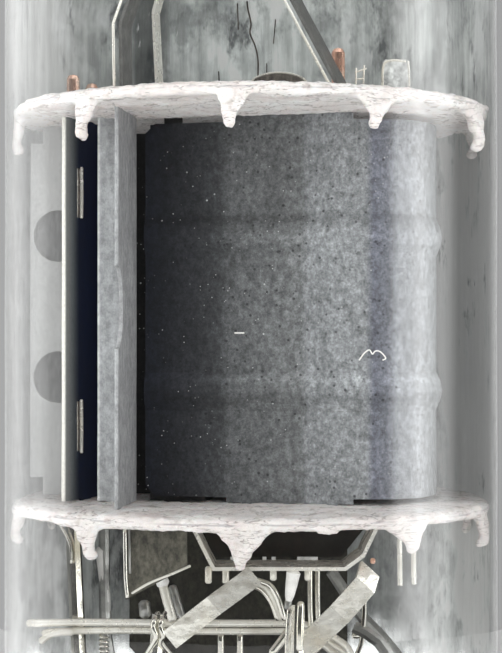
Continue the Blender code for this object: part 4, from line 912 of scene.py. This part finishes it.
def above_the_mica():
    # The two strut edge wires are painted highlights along the ribbons' lit edges.
    left = ((-9.18, 9.0, 80.1), (-9.26, 9.0, 85.03), (-8.62, 8.2, 87.24), (-5.9, 4.6, 91.4))
    right = ((6.1, 6.5, 80.1), (5.45, 6.3, 81.2), (2.25, 5.9, 87.34), (0.5, 4.7, 91.6))
    for name, points in (("left_strut_highlight", left), ("right_strut_highlight", right)):
        tube(name, [Vector((x, -front, z)) * MM for x, front, z in points], 0.1, SATIN, "bright_nickel")
    crown = arc((2.2, 83.35), (2.25, 0.95), 0, 180, 24)
    plate = flat_piece("radiator", [(-0.05, 80.1), (4.45, 80.1)] + crown, -8.6, 0.25, RADIATOR,
                       "carbon_black")
    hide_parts("radiator_plate")
    # A bright wire along the crown: a painted highlight on the plate's top edge.
    tube("radiator_highlight", [Vector((x, 8.45, z)) * MM for x, z in crown], 0.08, SATIN, "bright_nickel")
    corners = [(9.35, 80.1), (11.3, 80.1), (11.3, 83.3), (11.1, 83.5), (9.55, 83.5), (9.35, 83.3)]
    tab = flat_piece("tab", corners, 3.0, 0.25, TAB, "dull_nickel")
    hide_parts("mica_tab")
    for index, points in enumerate((((355, 69), (354, 106)), ((363, 66), (361, 106)),
                                    ((354, 73), (365, 69)), ((354, 80), (362, 79)), ((354, 86), (362, 86)))):
        wire("mica_wire_%d" % (index + 1), points, 0.065, SATIN, "bright_nickel", 3.0)
    wire("tab_wire", ((407, 62), (408, 84), (407, 106)), 0.08, SATIN, "bright_nickel", 3.1)
    wire("tab_edge", ((381, 88), (382, 66), (390, 61), (404, 62)), 0.09, SATIN, "bright_nickel", 3.1)


def on_the_cage():
    for index, (top, foot) in enumerate(((168, 218), (400, 452))):
        for side, x in enumerate((76.6, 81.6)):
            wire("slot_lip_%d_%d" % (index + 1, side + 1), ((x, top), (x + 0.3, (top + foot) / 2), (x, foot)),
                 0.12, SATIN, "bright_nickel", 4.0)
    wire("stuck_fibre", ((234, 333), (243, 333)), 0.06, CERAMIC, "white_ceramic", 6.75)
    wire("stuck_thread", ((357, 360), (362, 353), (367, 350), (370, 354), (373, 351), (378, 352),
                          (383, 358), (380, 360)), 0.05, CERAMIC, "white_ceramic", 8.0)
    crack = Look("film_crack", (0.07, 0.05, 0.04), 0.6)
    crack.set("Base Color", crack.ramp(crack.noise(0.6, 3.0), [(0.3, (0.03, 0.022, 0.018)),
                                                               (0.7, (0.14, 0.11, 0.09))]))
    cracks = (((246, 2), (247, 10), (250, 24), (249, 34), (254, 46), (257, 60), (257, 78)),
              ((217, 72), (217.5, 86)), ((266, 64), (266, 76)), ((236, 4), (237, 30)), ((275, 20), (273, 44)))
    for index, points in enumerate(cracks):
        wire("film_crack_%d" % (index + 1), points, 0.07 if index == 0 else 0.05, crack.material,
             "clear_glass", -16.95)


def small_fittings():
    below_the_mica()
    above_the_mica()
    on_the_cage()


studio()
glass_pieces()
base_pieces()
coated_mica("upper_mica_coat", "upper_mica", 79.35,
            ((-38.5, 2.5, 0.55), (-3.5, 2.1, 0.65), (28.5, 2.0, 1.15), (62, 2.7, 0.9), (98, 2.2, 0.8),
             (134, 2.4, 1.0), (170, 2.2, 0.7), (206, 2.4, 0.9), (242, 2.2, 0.8), (280, 2.4, 0.9)), 11, 1.1)
coated_mica("lower_mica_coat", "lower_mica", 51.5,
            ((-39, 2.2, 0.8), (-1.5, 2.4, 1.35), (35.5, 1.7, 1.3), (69, 2.2, 0.8), (104, 2.3, 0.9),
             (140, 2.2, 0.7), (176, 2.4, 1.0), (212, 2.2, 0.8), (248, 2.3, 0.9), (284, 2.2, 0.8)), 23, 0.98)

# Anode from its dark left to its pale right, tuned to the photo's light: (x in mm, colour)
# The carbon's dark grey, with painted shade towards the left and painted reflection towards the pale right
# end.
ANODE_GREY_AND_PAINTED_LIGHT = ((-7.35, (0.006, 0.008, 0.014)), (-6.0, (0.010, 0.011, 0.015)), (-4.0, (0.023, 0.024, 0.028)),
               (-2.2, (0.045, 0.047, 0.050)), (-1.5, (0.078, 0.081, 0.084)), (3.4, (0.136, 0.140, 0.143)),
               (3.9, (0.215, 0.224, 0.232)), (7.8, (0.205, 0.213, 0.22)), (8.3, (0.118, 0.123, 0.151)),
               (9.2, (0.14, 0.146, 0.17)), (9.8, (0.21, 0.22, 0.24)), (12.0, (0.265, 0.275, 0.29)),
               (13.3, (0.32, 0.335, 0.345)))
dress(carbon("front_carbon", ANODE_GREY_AND_PAINTED_LIGHT), "front_anode_outer")
dress(carbon("rear_carbon", ANODE_GREY_AND_PAINTED_LIGHT, True), "rear_anode_outer")
dress(carbon("inner_carbon", ((-8.0, 0.010), (13.9, 0.016))), "front_anode_inner", "rear_anode_inner")
dress(arm_and_panel("arm_and_panel"), "side_fin")
# The pale band at x -11 to -10.6 is a painted highlight on the blade's cut edge.
dress(grey_sheet("strip_and_blade", (0.30, 0.305, 0.305),
                 ((-11.0, (0.62, 0.63, 0.62)), (-10.6, (0.62, 0.63, 0.62)), (-10.5, (0.38, 0.39, 0.40)),
                  (-8.95, (0.40, 0.41, 0.42)), (-8.8, (0.31, 0.312, 0.318)), (-8.0, (0.29, 0.292, 0.298)))),
      "front_fin")
COPPER = metal("copper_rod", (0.90, 0.55, 0.42), (0.62, 0.33, 0.23), 0.28, 0.9, (1.0, 1.0, 3.0),
               (0.92, 0.70, 0.58), metallic=0.85)
dress(COPPER, "front_grid_rod_1", "front_grid_rod_2", "rear_grid_rod_1", "rear_grid_rod_2",
      "copper_post_1", "copper_post_2")
dress(metal("grid_wire", (0.45, 0.44, 0.42), (0.2, 0.19, 0.18), 0.35, 0.5), "front_grid", "rear_grid")
dress(grey_sheet("cathode_sleeve", (0.45, 0.45, 0.44)), "front_cathode", "rear_cathode")
CERAMIC = white_ceramic("heater_coat")
dress(CERAMIC, "front_heater", "rear_heater", "lead_sleeve_1")
DULL = metal("dull_nickel", (0.50, 0.50, 0.48), (0.30, 0.30, 0.29), 0.35, 1.4)
dress(DULL, "getter_ring", "stem_lead_4", "stem_lead_5", "stem_lead_6", "stem_lead_7", "stem_lead_8")
dress(grey_sheet("strut_ribbon", (0.11, 0.11, 0.105)), "getter_strut_left", "getter_strut_right")
BRIGHT = metal("bright_nickel", (0.97, 0.95, 0.88), (0.78, 0.75, 0.67), 0.16, 1.8, (1.0, 1.0, 1.0),
               (0.90, 0.85, 0.72))
SATIN = metal("satin_nickel", (0.93, 0.91, 0.84), (0.66, 0.63, 0.56), 0.26, 2.2, (1.0, 1.0, 1.0),
              (0.86, 0.81, 0.70), metallic=0.5)
dress(BRIGHT, "stem_lead_1", "stem_lead_2", "stem_lead_3")
dress(SATIN, "getter_strut_rear", "lower_bracket", "mica_hairpin")
dress(metal("strap_nickel", (0.97, 0.95, 0.88), (0.30, 0.28, 0.23), 0.24, 1.7, (1.0, 1.0, 0.6),
            (0.74, 0.69, 0.58), metallic=0.6, wave=0.16), "strap_left", "strap_right")
RADIATOR = grey_sheet("radiator_coat", (0.13, 0.115, 0.10), contrast=0.6)
TAB = grey_sheet("tab_mica", (0.42, 0.43, 0.42), rough=0.3, contrast=0.6)
dress(grey_sheet("dark_shield", (0.014, 0.011, 0.008)), "lower_baffle")
dress(grey_sheet("brown_shield", (0.085, 0.080, 0.062), contrast=0.6), "lower_shield")
dress(grey_sheet("rear_shield", (0.030, 0.028, 0.020), contrast=0.7), "rear_baffle")
small_fittings()
